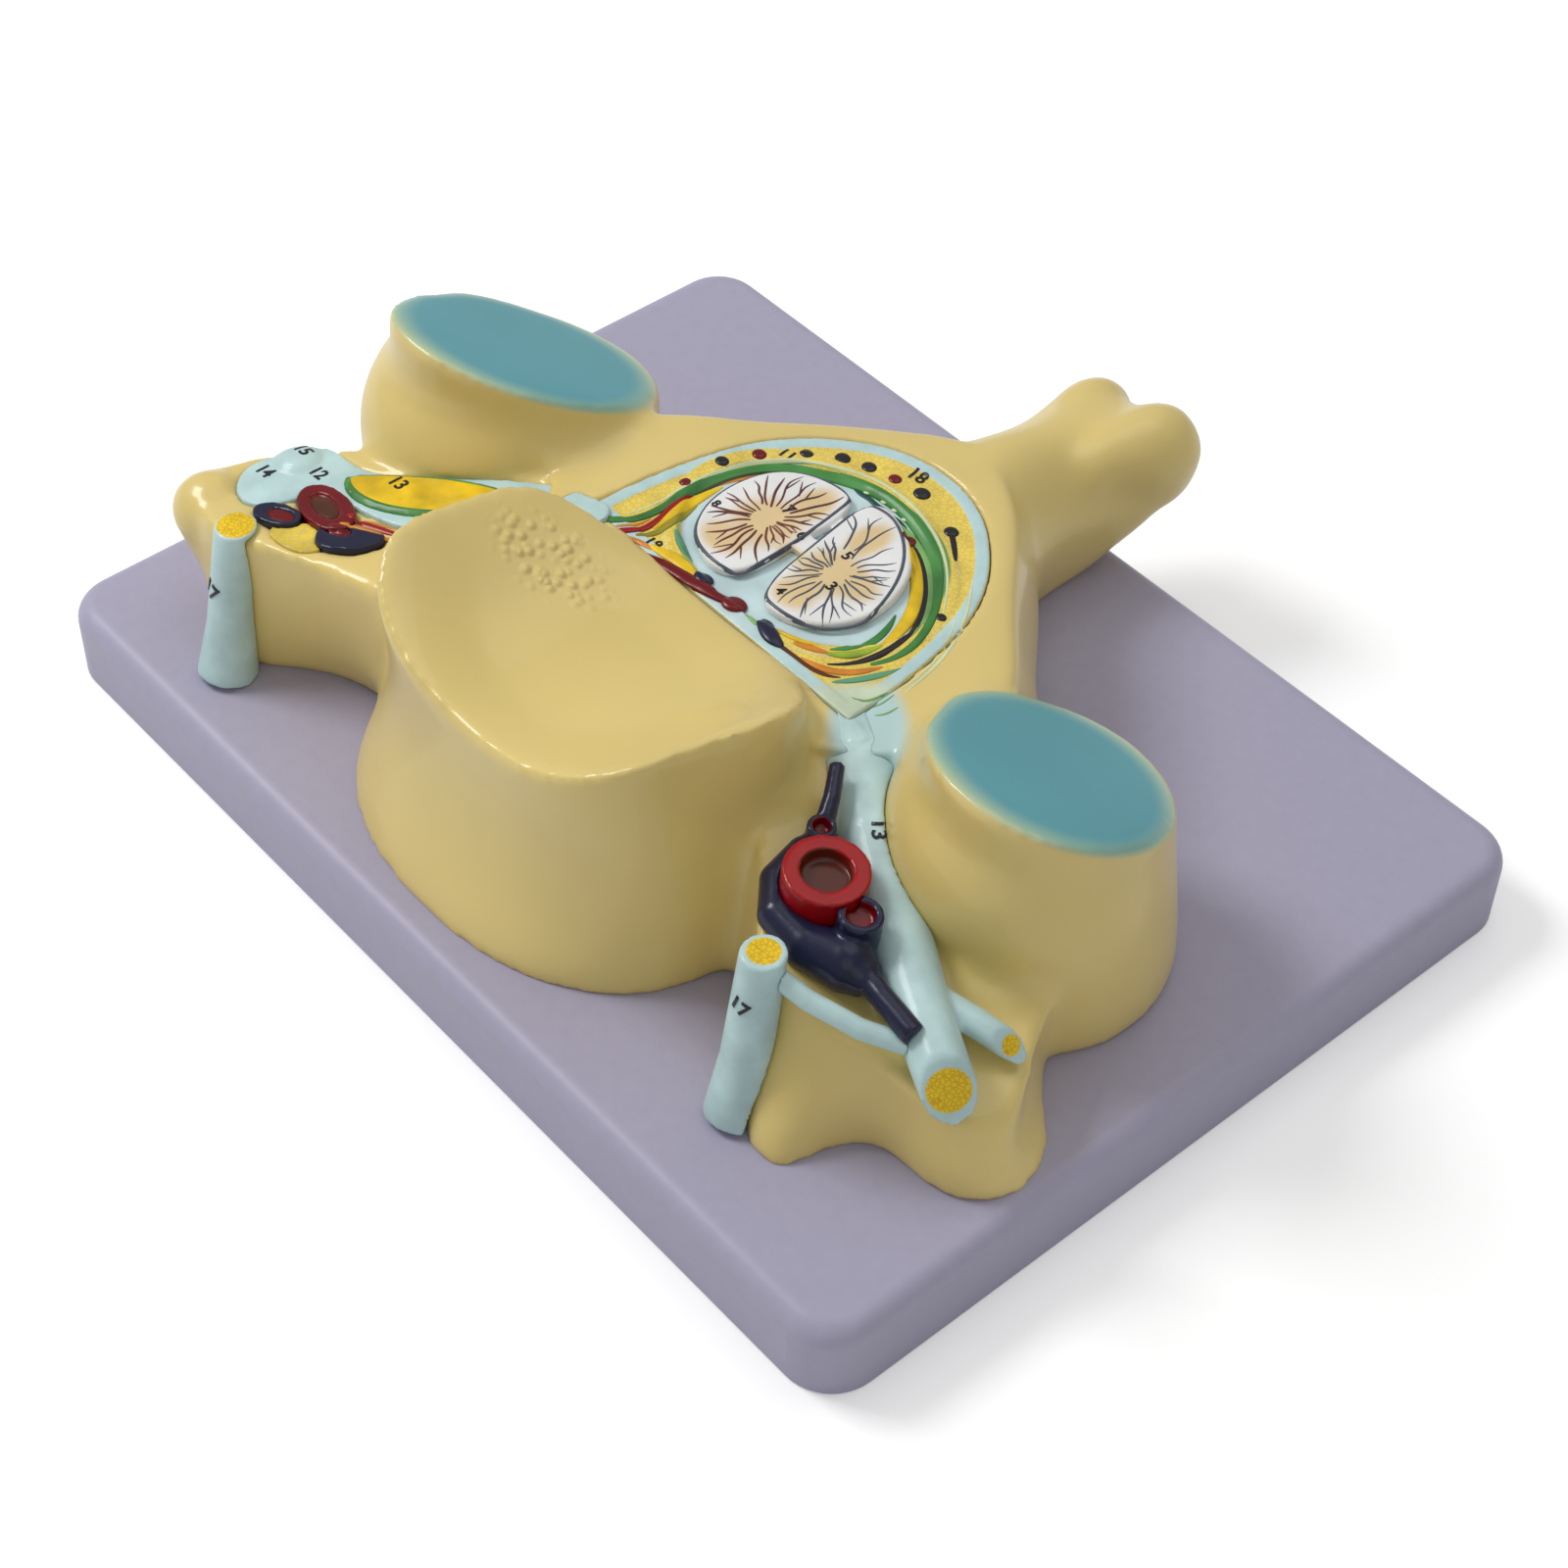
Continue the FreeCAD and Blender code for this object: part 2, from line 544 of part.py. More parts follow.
def build():
    """All nodes by name, still centred on the plate, each seated in what carries it."""
    bone = vertebral_body().fuse([left_wing(), right_wing(), pillar(1), pillar(-1), arch(),
                                  spinous_process()])
    bone = bone.cut(canal_block(0, SECTION_LEVEL - CANAL_DEPTH, 60))
    bone = bone.cut(block_above(at_level(0, 0, -300), V(0, 0, 1)).common(
        Part.makeBox(500, 500, 200, V(-250, -250, PLATE_HEIGHT - 200))))
    bone = bone.cut([pilot_hole(x, y) for x, y in SCREW_PLACES])

    canal = canal_section()
    veins_left = Part.makeCompound(list(vertebral_veins_left()))
    artery_left = vertebral_artery_left()
    veins_left = veins_left.cut(artery_left)
    ganglion = ganglion_left()
    sheath = nerve_section_left().cut([canal, ganglion, artery_left, veins_left])
    fat = fat_patch_left().cut([artery_left, veins_left])
    bone = bone.cut([sheath, ganglion, artery_left, veins_left, fat])

    nerve = spinal_nerve_right().cut([bone, canal])
    artery = vertebral_artery_right().cut([bone, nerve])
    veins = vertebral_veins_right().cut([bone, nerve, artery])
    trunk_left = sympathetic_trunk_left().cut(bone)
    trunk_right = sympathetic_trunk_right().cut(bone)
    branch = communicating_branch_right().cut([bone, nerve, trunk_right, veins])
    return {
        "base_plate": hollow_base(),
        "mounting_screws": Part.makeCompound([screw(x, y) for x, y in SCREW_PLACES]),
        "vertebra": bone,
        "canal_section": canal,
        "spinal_cord": spinal_cord(),
        "nerve_section_left": sheath,
        "ganglion_left": ganglion,
        "vertebral_artery_left": artery_left,
        "vertebral_veins_left": veins_left,
        "fat_patch_left": fat,
        "sympathetic_trunk_left": trunk_left,
        "sympathetic_trunk_right": trunk_right,
        "spinal_nerve_right": nerve,
        "vertebral_artery_right": artery,
        "vertebral_veins_right": veins,
        "communicating_branch_right": branch,
    }


if __name__ == "__main__":
    os.makedirs("parts", exist_ok=True)
    centre = V(0, -(SPINE_TIP_Y - PLATE_DEPTH / 2) / 2, 0)
    for name, shape in build().items():
        shape.translate(centre)
        shape.exportStep("parts/" + name + ".step")
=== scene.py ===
"""Looks of a spine anatomy model: a cast neck vertebra with cord, nerves and vessels on a base plate.

The castings are softened copies of the frame's solids. The painted lines, dots and key numbers are thin
raised strokes of paint that follow the surface under them. Sizes in the classes are millimetres in the
frame's axes, and MM turns them into metres.
"""
import logging
import math
import random
from dataclasses import dataclass, field
from enum import Enum
from typing import Callable, Iterable, Optional, Sequence

import bpy
from bpy.types import Material, NodeSocket, Object
from mathutils import Matrix, Vector
from mathutils.bvhtree import BVHTree


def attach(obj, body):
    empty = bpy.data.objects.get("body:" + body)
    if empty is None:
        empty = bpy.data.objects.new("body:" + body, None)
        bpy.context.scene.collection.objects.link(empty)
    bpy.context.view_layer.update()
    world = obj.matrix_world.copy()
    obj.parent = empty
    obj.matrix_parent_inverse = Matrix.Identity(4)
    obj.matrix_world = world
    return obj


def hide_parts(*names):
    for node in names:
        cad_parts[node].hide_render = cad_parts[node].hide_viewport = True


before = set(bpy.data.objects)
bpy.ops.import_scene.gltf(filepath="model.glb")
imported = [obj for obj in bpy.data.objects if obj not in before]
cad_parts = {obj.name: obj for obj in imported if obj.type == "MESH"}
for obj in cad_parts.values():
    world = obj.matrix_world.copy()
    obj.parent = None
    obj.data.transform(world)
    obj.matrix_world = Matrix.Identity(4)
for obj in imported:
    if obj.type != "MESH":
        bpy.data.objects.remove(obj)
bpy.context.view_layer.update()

MM = 0.001
LOG = logging.getLogger("spine_model")

Point = tuple[float, float]
Place = tuple[float, float, float]
Colour = tuple[float, float, float]

# The drawings below were measured about the base's middle. The frame's middle lies this far in front.
BASE_SHIFT_Y = -11.0
# The canal's drawing was measured 5 mm below its cut face, seen at the camera's slant.
CANAL_SHIFT = (3.5, -3.1 + BASE_SHIFT_Y)
PLATE_TOP = 25.0
SECTION_TOP = PLATE_TOP + 55.0
CORD_MIDDLE = (-2.3, 16.0 + BASE_SHIFT_Y)


def srgb(red: int, green: int, blue: int) -> Colour:
    """Linear colour of an 8-bit screen colour."""
    def channel(value: int) -> float:
        share = value / 255
        return share / 12.92 if share <= 0.04045 else ((share + 0.055) / 1.055) ** 2.4

    return channel(red), channel(green), channel(blue)


class Slot(Enum):
    """The record's material slots."""
    BONE = "bone_cream"
    CANAL = "canal_paint"
    CORD = "cord_white"
    NERVE = "nerve_blue"
    YELLOW = "ganglion_yellow"
    ARTERY = "artery_red"
    VEIN = "vein_navy"


@dataclass(frozen=True)
class Paint:
    """A brushed gloss paint on cast plastic.

    Attributes:
        name: The material's name.
        colour: Linear base colour.
        roughness: Roughness of the paint film.
        mottle: How far the colour wanders, from 0 to 1.
        grain: Size of the brush texture in millimetres.
        relief: Height of the brush texture in millimetres.
        coat: Weight of the clear gloss coat.
        metal: 1 for bare metal, 0 for paint and plastic.
    """
    name: str
    colour: Colour
    roughness: float = 0.38
    mottle: float = 0.12
    grain: float = 2.5
    relief: float = 0.05
    coat: float = 0.15
    metal: float = 0.0


def gloss(name: str, red: int, green: int, blue: int, **film: float) -> Paint:
    """Paint of an 8-bit screen colour, with what sets its film apart."""
    return Paint("paint_" + name, srgb(red, green, blue), **film)


PALE_BLUE = gloss("pale_blue", 180, 208, 208)
CORD_WHITE = gloss("cord_white", 228, 228, 226, mottle=0.05)
YELLOW = gloss("yellow", 222, 184, 22, mottle=0.3)
FAT_YELLOW = gloss("fat_yellow", 226, 200, 96, mottle=0.22)
GREEN = gloss("green", 62, 128, 58, mottle=0.35, grain=4.0)
LIGHT_GREEN = gloss("light_green", 122, 165, 96, mottle=0.35, grain=4.0)
AQUA_GREEN = gloss("aqua_green", 92, 152, 116, mottle=0.3, grain=4.0)
RED = gloss("red", 150, 2, 8, roughness=0.3)
DARK_RED = gloss("dark_red", 108, 2, 8, roughness=0.3)
LUMEN = gloss("lumen", 84, 32, 16, roughness=0.4)
NAVY = gloss("navy", 25, 28, 56, roughness=0.3)
# Pale green-cream paint: the corner's pale lines and the dura's pale marks, and also a painted highlight
# along the dura's outer edge.
PALE_LINE_AND_HIGHLIGHT = gloss("pale_line_and_highlight", 206, 214, 168, mottle=0.1)
LIME = gloss("lime", 150, 178, 48, mottle=0.3)
OLIVE_YELLOW = gloss("olive_yellow", 160, 150, 34, mottle=0.35, grain=4.0)
DEEP_BROWN = gloss("deep_brown", 84, 40, 16, mottle=0.3)
BLACK = gloss("black", 28, 26, 30, mottle=0.05, relief=0.02)
SLATE = gloss("slate", 78, 84, 96, mottle=0.1, relief=0.02)
BROWN_LINE = gloss("brown_line", 104, 56, 50, mottle=0.3, relief=0.02)
ORANGE = gloss("orange", 206, 128, 38, mottle=0.3)
OLIVE = gloss("olive", 60, 56, 24, mottle=0.3)
TEAL_LINE = gloss("teal_line", 28, 72, 66, mottle=0.2, relief=0.02)

# Socket types of the node groups.
FLOAT, VECTOR, COLOUR = "NodeSocketFloat", "NodeSocketVector", "NodeSocketColor"


def feed(tree, socket, source) -> None:
    """Links an input to another socket, or sets it to a linear colour or a plain value."""
    if isinstance(source, NodeSocket):
        tree.links.new(source, socket)
    elif socket.type == "RGBA":
        socket.default_value = (*source, 1.0)
    else:
        socket.default_value = source


def add(tree, kind: str, inputs: dict, **settings):
    """Adds a shader node.

    Args:
        tree: The node tree.
        kind: The node's type without Blender's prefix.
        inputs: What each input gets, by its name or number.
        **settings: The node's own settings.
    """
    node = tree.nodes.new("ShaderNode" + kind)
    for key, value in settings.items():
        setattr(node, key, value)
    for key, source in inputs.items():
        feed(tree, node.inputs[key], source)
    return node


def shade(tree, look: dict) -> None:
    """Sets inputs of a material's main shader to values or sockets, by their names."""
    for key, source in look.items():
        feed(tree, tree.nodes["Principled BSDF"].inputs[key], source)


def group(name: str, inputs: dict[str, str], outputs: dict[str, str], wire: Callable):
    """Shared node group, built at its first use.

    Args:
        name: The group's name.
        inputs: Socket types of what goes in, by name.
        outputs: Socket types of what comes out, by name.
        wire: Builds the inside from the tree and its inputs, and returns the outputs' sources by name.
    """
    if name in bpy.data.node_groups:
        return bpy.data.node_groups[name]
    tree = bpy.data.node_groups.new(name, "ShaderNodeTree")
    for way, sockets in (("INPUT", inputs), ("OUTPUT", outputs)):
        for label, kind in sockets.items():
            tree.interface.new_socket(label, in_out=way, socket_type=kind)
    given = tree.nodes.new("NodeGroupInput").outputs
    out = tree.nodes.new("NodeGroupOutput")
    for label, source in wire(tree, given).items():
        tree.links.new(source, out.inputs[label])
    return tree


def brushed_film():
    """Group that wanders a colour and gives the height of a brushed paint film."""
    def wire(tree, given) -> dict:
        place, scale = given["Place"], given["Scale"]
        wide_scale = add(tree, "Math", {0: scale, 1: 0.22}, operation="MULTIPLY").outputs[0]
        wide = add(tree, "TexNoise", {"Vector": place, "Scale": wide_scale, "Detail": 3.0})
        fine = add(tree, "TexNoise", {"Vector": place, "Scale": scale, "Detail": 2.0})
        swing = add(tree, "MapRange", {"Value": wide.outputs["Fac"], "From Min": 0.3, "From Max": 0.7,
                                       "To Min": -1.0, "To Max": 1.0})
        share = add(tree, "Math", {0: swing.outputs["Result"], 1: given["Mottle"], 2: 1.0},
                    operation="MULTIPLY_ADD")
        scaled = add(tree, "VectorMath", {0: given["Colour"], "Scale": share.outputs[0]}, operation="SCALE")
        return {"Colour": scaled.outputs[0], "Height": fine.outputs["Fac"]}

    return group("brushed_film", {"Place": VECTOR, "Colour": COLOUR, "Mottle": FLOAT, "Scale": FLOAT},
                 {"Colour": COLOUR, "Height": FLOAT}, wire)


def soft_spot():
    """Group whose mask is 1 inside a turned ellipsoid and fades to 0 at its edge."""
    def wire(tree, given) -> dict:
        local = add(tree, "VectorMath", {0: given["Place"], 1: given["Centre"]}, operation="SUBTRACT")
        tilted = add(tree, "VectorRotate", {"Vector": local.outputs[0], "Angle": given["Tilt"]},
                     rotation_type="X_AXIS")
        turned = add(tree, "VectorRotate", {"Vector": tilted.outputs[0], "Angle": given["Turn"]},
                     rotation_type="Z_AXIS")
        shrunk = add(tree, "VectorMath", {0: turned.outputs[0], 1: given["Radii"]}, operation="DIVIDE")
        length = add(tree, "VectorMath", {0: shrunk.outputs[0]}, operation="LENGTH")
        fade = add(tree, "MapRange", {"Value": length.outputs["Value"], "From Min": given["Core"],
                                      "From Max": given["Edge"], "To Min": 1.0, "To Max": 0.0},
                   interpolation_type="SMOOTHSTEP")
        return {"Mask": fade.outputs["Result"]}

    return group("soft_spot", {"Place": VECTOR, "Centre": VECTOR, "Turn": FLOAT, "Tilt": FLOAT,
                               "Radii": VECTOR, "Core": FLOAT, "Edge": FLOAT}, {"Mask": FLOAT}, wire)


def stipple():
    """Group that gives a net between small grains and the grains' height."""
    def wire(tree, given) -> dict:
        grains = {"Vector": given["Place"], "Scale": given["Scale"]}
        cells = add(tree, "TexVoronoi", grains, feature="DISTANCE_TO_EDGE")
        net = add(tree, "MapRange", {"Value": cells.outputs["Distance"], "From Max": 0.14, "To Min": 1.0,
                                     "To Max": 0.0})
        bumps = add(tree, "TexVoronoi", grains, feature="SMOOTH_F1")
        bumps.inputs["Smoothness"].default_value = 0.35
        rise = add(tree, "MapRange", {"Value": bumps.outputs["Distance"], "From Max": 0.62, "To Min": 1.0,
                                      "To Max": 0.0}, interpolation_type="SMOOTHSTEP")
        return {"Net": net.outputs["Result"], "Height": rise.outputs["Result"]}

    return group("stipple", {"Place": VECTOR, "Scale": FLOAT}, {"Net": FLOAT, "Height": FLOAT}, wire)


@dataclass(frozen=True)
class Spot:
    """A soft area of another colour on a painted surface.

    Attributes:
        colour: Linear colour of the area.
        centre: Middle in millimetres.
        radii: Half sizes along its own axes in millimetres.
        turn: Turn about its own upright axis in degrees.
        tilt: Lean of that axis toward +Y in degrees.
        core: Share of the radii that is fully covered.
        edge: Share of the radii where it ends.
        net: Linear colour between its grains, if it is grained.
        grain: Size of a grain in millimetres.
    """
    colour: Colour
    centre: Place
    radii: Place
    turn: float = 0.0
    tilt: float = 0.0
    core: float = 0.5
    edge: float = 1.0
    net: Optional[Colour] = None
    grain: float = 1.2


class PaintShop:
    """Builds the materials from paints and soft areas."""
    SPECULAR = 0.3
    COAT_ROUGHNESS = 0.07

    def __init__(self) -> None:
        """Starts with no materials."""
        self.made: dict[str, Material] = {}

    def material(self, paint: Paint, spots: Iterable[Spot] = (), name: Optional[str] = None) -> Material:
        """Material of a paint with its soft areas.

        Args:
            paint: The main paint.
            spots: Soft areas over it, in order.
            name: Name of the material, if it isn't the paint's own.

        Returns:
            The finished material.
        """
        title = name or paint.name
        if title in self.made:
            return self.made[title]
        material = bpy.data.materials.new(title)
        material.use_nodes = True
        tree = material.node_tree
        place = add(tree, "TexCoord", {}).outputs["Object"]
        colour = paint.colour
        for spot in spots:
            top = spot.colour if spot.net is None else self._grained(tree, place, spot)
            colour = self._over(tree, colour, top, self.spot_mask(tree, place, spot))
        film = add(tree, "Group", {"Place": place, "Colour": colour, "Mottle": paint.mottle,
                                   "Scale": 1 / (paint.grain * MM)}, node_tree=brushed_film())
        bump = add(tree, "Bump", {"Distance": paint.relief * MM, "Height": film.outputs["Height"]})
        shade(tree, {"Roughness": paint.roughness, "Metallic": paint.metal, "Coat Weight": paint.coat,
                     "Specular IOR Level": self.SPECULAR, "Coat Roughness": self.COAT_ROUGHNESS,
                     "Base Color": film.outputs["Colour"], "Normal": bump.outputs["Normal"]})
        self.made[title] = material
        return material

    @staticmethod
    def spot_mask(tree, place, spot: Spot):
        """Mask socket of one soft area."""
        return add(tree, "Group", {
            "Place": place, "Centre": [value * MM for value in spot.centre],
            "Radii": [value * MM for value in spot.radii], "Turn": -math.radians(spot.turn),
            "Tilt": math.radians(spot.tilt), "Core": spot.core, "Edge": spot.edge},
            node_tree=soft_spot()).outputs["Mask"]

    @classmethod
    def _grained(cls, tree, place, spot: Spot):
        """Colour socket of an area's grains with the net between them."""
        grains = add(tree, "Group", {"Place": place, "Scale": 1 / (spot.grain * MM)}, node_tree=stipple())
        return cls._over(tree, spot.colour, spot.net, grains.outputs["Net"])

    @staticmethod
    def _over(tree, below, colour, mask):
        """Colour socket of one colour laid over another where the mask is 1."""
        return add(tree, "Mix", {0: mask, 6: below, 7: colour}, data_type="RGBA").outputs[2]


def eased(share: float) -> float:
    """Smooth rise from 0 to 1 while a share goes from 0 to 1."""
    share = min(max(share, 0.0), 1.0)
    return share * share * (3 - 2 * share)


def only(item: Object) -> None:
    """Selects one object alone and makes it active."""
    bpy.ops.object.select_all(action="DESELECT")
    item.select_set(True)
    bpy.context.view_layer.objects.active = item


def newest() -> Object:
    """The object that the last operator made."""
    return bpy.context.view_layer.objects.active


def merge_points(item: Object, distance: float, cuts: int = 0) -> None:
    """Merges points that lie within a distance, and cuts the faces to small triangles if it gets cuts."""
    only(item)
    bpy.ops.object.mode_set(mode="EDIT")
    bpy.ops.mesh.select_all(action="SELECT")
    bpy.ops.mesh.remove_doubles(threshold=distance)
    if cuts:
        bpy.ops.mesh.quads_convert_to_tris()
        bpy.ops.mesh.subdivide(number_cuts=cuts)
    bpy.ops.object.mode_set(mode="OBJECT")


def apply_modifier(item: Object, kind: str, **values) -> None:
    """Adds a modifier of a kind with its settings and applies it."""
    only(item)
    modifier = item.modifiers.new(kind.lower(), kind)
    for key, value in values.items():
        setattr(modifier, key, value)
    bpy.ops.object.modifier_apply(modifier=modifier.name)


def surface(items: Iterable[Object]) -> BVHTree:
    """Search tree over the faces of several objects."""
    points: list[Vector] = []
    faces: list[tuple[int, ...]] = []
    for item in items:
        start = len(points)
        points.extend(vertex.co.copy() for vertex in item.data.vertices)
        faces.extend(tuple(start + index for index in face.vertices) for face in item.data.polygons)
    return BVHTree.FromPolygons(points, faces)


def finish(item: Object, name: str, material: Material) -> Object:
    """Names and dresses a finished piece and lets it ride on the root."""
    item.name = item.data.name = name
    item.data.materials.clear()
    item.data.materials.append(material)
    only(item)
    bpy.ops.object.shade_smooth()
    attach(item, "root")
    return item


def cast_copy(node: str, voxel: float) -> Object:
    """Merged and evenly meshed copy of a solid of the frame, with a grain in millimetres."""
    only(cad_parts[node])
    bpy.ops.object.duplicate()
    item = newest()
    for key in [key for key in item.keys() if key.startswith("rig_")]:
        del item[key]
    item.data.materials.clear()
    merge_points(item, 0.002 * MM)
    apply_modifier(item, "REMESH", mode="VOXEL", voxel_size=voxel * MM)
    return item


@dataclass
class Casting:
    """A casting that stands for one solid of the frame, with its edges softened as by a mould.

    Attributes:
        node: The solid's name.
        name: The piece's name.
        slot: The record's slot; not used.
        paint: Its main paint.
        voxel: Grain of its new surface in millimetres.
        rounds: How often the surface is eased.
        spots: Areas of other colours on it.
    """
    node: str
    name: str
    slot: Slot
    paint: Paint
    voxel: float = 0.6
    rounds: int = 4
    spots: Sequence[Spot] = ()

    def build(self, shop: PaintShop) -> Object:
        """Softened and painted piece in place of the solid."""
        item = cast_copy(self.node, self.voxel)
        apply_modifier(item, "SMOOTH", factor=0.5, iterations=self.rounds)
        finish(item, self.name, shop.material(self.paint, self.spots, "cast_" + self.node))
        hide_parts(self.node)
        return item


@dataclass
class Bone:
    """The vertebra: cream casting with soft valleys and airbrushed teal joint facets.

    Attributes:
        voxel: Grain of its surface in millimetres.
        valley_rounds: How far the valleys between its parts are filled.
        edge_share: How much of the same easing its outer edges get.
        ease_rounds: How far all its edges are rounded.
        ease_least: Share of that rounding right beside an inset.
        seat_clear: Distance from an inset at which the easing begins, and where it is full.
        foot: Height over the plate up to which the walls are drawn down.
        sink: How far their lower edge runs into the plate.
        dish_sink: How much the dish's floor lies under its lip.
        dish_power: Exponent of the dish's outline, which lies between an ellipse and a box.
        dish_slope: Share of the dish's radii over which its floor comes down.
    """
    voxel: float = 1.45
    valley_rounds: int = 200
    edge_share: float = 0.12
    ease_rounds: int = 26
    ease_least: float = 0.15
    seat_clear: tuple[float, float] = (2.0, 9.0)
    foot: float = 8.0
    sink: float = 1.8
    dish_sink: float = 2.8
    dish_power: float = 2.6
    dish_slope: float = 0.5

    INSETS = ("canal_section", "nerve_section_left", "ganglion_left", "vertebral_artery_left",
              "vertebral_veins_left", "fat_patch_left", "spinal_nerve_right", "vertebral_artery_right",
              "vertebral_veins_right")
    DISH_MIDDLE_Y = -62.0 + BASE_SHIFT_Y
    DISH_RADII = (56.0, 41.0)
    # The dish takes in what lies less than this under the cut face and looks at least this much upward.
    DISH_DEPTH = 10.0
    DISH_LEAST_RISE = 0.4
    FACET_MIDDLE = (110.5, 0.5 + BASE_SHIFT_Y, PLATE_TOP + 67.0)
    FACET_TURN = -53.0
    FACET_TILT = 26.6
    CREAM = gloss("bone", 218, 195, 122, roughness=0.32, mottle=0.05, grain=14.0, relief=0.12, coat=0.3)
    OVERSPRAY = srgb(160, 190, 160)
    TEAL = srgb(80, 154, 165)
    NERVE_ROOT = Spot(PALE_BLUE.colour, (61.5, -29.5, SECTION_TOP), (25, 13, 40), -42.0, core=0.6)
    PEBBLES = Spot((0, 0, 0), (-36, -48 + BASE_SHIFT_Y, PLATE_TOP + 62), (24, 15, 30), 20.0, core=0.45,
                   grain=3.4)
    PEBBLE_HEIGHT = 0.7

    def build(self, shop: PaintShop) -> Object:
        """Casts and paints the vertebra."""
        item = cast_copy("vertebra", self.voxel)
        self._fill_valleys(item)
        self._ease(item)
        self._hollow_dish(item)
        self._seat(item)
        finish(item, "bone_casting", self._material(shop))
        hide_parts("vertebra")
        return item

    def _freedom(self, item: Object) -> list[float]:
        """How freely each vertex may be eased: 0 beside an inset, 1 well away from all."""
        seats = surface(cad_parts[name] for name in self.INSETS)
        near, far = (value * MM for value in self.seat_clear)
        return [eased((seats.find_nearest(vertex.co)[3] - near) / (far - near))
                for vertex in item.data.vertices]

    def _fill_valleys(self, item: Object) -> None:
        """Fills the creases between the bone's parts and leaves its outer edges nearly as they are."""
        before = [vertex.co.copy() for vertex in item.data.vertices]
        normals = [vertex.normal.copy() for vertex in item.data.vertices]
        shares = self._freedom(item)
        apply_modifier(item, "SMOOTH", factor=0.5, iterations=self.valley_rounds)
        for vertex, start, normal, share in zip(item.data.vertices, before, normals, shares):
            move = vertex.co - start
            if move.dot(normal) < 0:
                move *= self.edge_share
            vertex.co = start + move * share

    def _ease(self, item: Object) -> None:
        """Rounds the cast edges a little, away from the insets."""
        free = item.vertex_groups.new(name="free")
        for index, share in enumerate(self._freedom(item)):
            free.add([index], max(share, self.ease_least), "REPLACE")
        apply_modifier(item, "SMOOTH", factor=0.5, iterations=self.ease_rounds, vertex_group="free")
        item.vertex_groups.clear()

    def _hollow_dish(self, item: Object) -> None:
        """Sinks the body's top a little inside its lip, so that the lip stands out as on the casting."""
        upward = [vertex.normal.z for vertex in item.data.vertices]
        for vertex, rise in zip(item.data.vertices, upward):
            x, y, z = (value / MM for value in vertex.co)
            if z < SECTION_TOP - self.DISH_DEPTH or rise < self.DISH_LEAST_RISE:
                continue
            across, along = abs(x / self.DISH_RADII[0]), abs((y - self.DISH_MIDDLE_Y) / self.DISH_RADII[1])
            away = (across ** self.dish_power + along ** self.dish_power) ** (1 / self.dish_power)
            vertex.co.z -= self.dish_sink * MM * eased((1.0 - away) / self.dish_slope)

    def _seat(self, item: Object) -> None:
        """Runs the casting's walls a little way into the plate, so that they meet it in a clean line."""
        for vertex in item.data.vertices:
            share = min(max((vertex.co.z - PLATE_TOP * MM) / (self.foot * MM), 0.0), 1.0)
            vertex.co.z -= self.sink * MM * (1 - share)

    def _material(self, shop: PaintShop) -> Material:
        """Cream gloss paint with two teal facets, pale green overspray round them and a pebbled patch."""
        spots = []
        x, y, z = self.FACET_MIDDLE
        for side in (-1, 1):
            lie = {"centre": (side * x, y, z), "turn": side * self.FACET_TURN, "tilt": self.FACET_TILT}
            spots.append(Spot(self.OVERSPRAY, radii=(43, 37, 6.0), core=0.88, edge=1.06, **lie))
            spots.append(Spot(self.TEAL, radii=(43, 37, 8.0), core=0.74, edge=0.97, **lie))
        material = shop.material(self.CREAM, [*spots, self.NERVE_ROOT])
        tree = material.node_tree
        place = add(tree, "TexCoord", {}).outputs["Object"]
        grains = add(tree, "Group", {"Place": place, "Scale": 1 / (self.PEBBLES.grain * MM)},
                     node_tree=stipple())
        mask = shop.spot_mask(tree, place, self.PEBBLES)
        height = add(tree, "Math", {0: mask, 1: grains.outputs["Height"]}, operation="MULTIPLY")
        normal = tree.nodes["Principled BSDF"].inputs["Normal"]
        bump = add(tree, "Bump", {"Distance": self.PEBBLE_HEIGHT * MM, "Height": height.outputs[0],
                                  "Normal": normal.links[0].from_socket})
        feed(tree, normal, bump.outputs["Normal"])
        return material


@dataclass(frozen=True)
class Stroke:
    """One stroke of the brush.

    Attributes:
        points: Its path in millimetres.
        width: Its full width in millimetres.
        tips: Share of the width at its two ends.
        closed: True if it runs back to its start.
        lift: Height of its middle over the surface in millimetres.
    """
    points: tuple[Point, ...]
    width: float
    tips: tuple[float, float] = (0.5, 0.5)
    closed: bool = False
    lift: float = 0.0


@dataclass(frozen=True)
class Dot:
    """One dab of paint.

    Attributes:
        middle: Its middle in millimetres.
        radii: Its half sizes in millimetres.
        turn: Turn of its first half size from X in degrees.
        height: Height over the smaller half size.
        lift: Height of its middle over the surface in millimetres.
    """
    middle: Point
    radii: tuple[float, float]
    turn: float = 0.0
    height: float = 0.3
    lift: float = 0.0


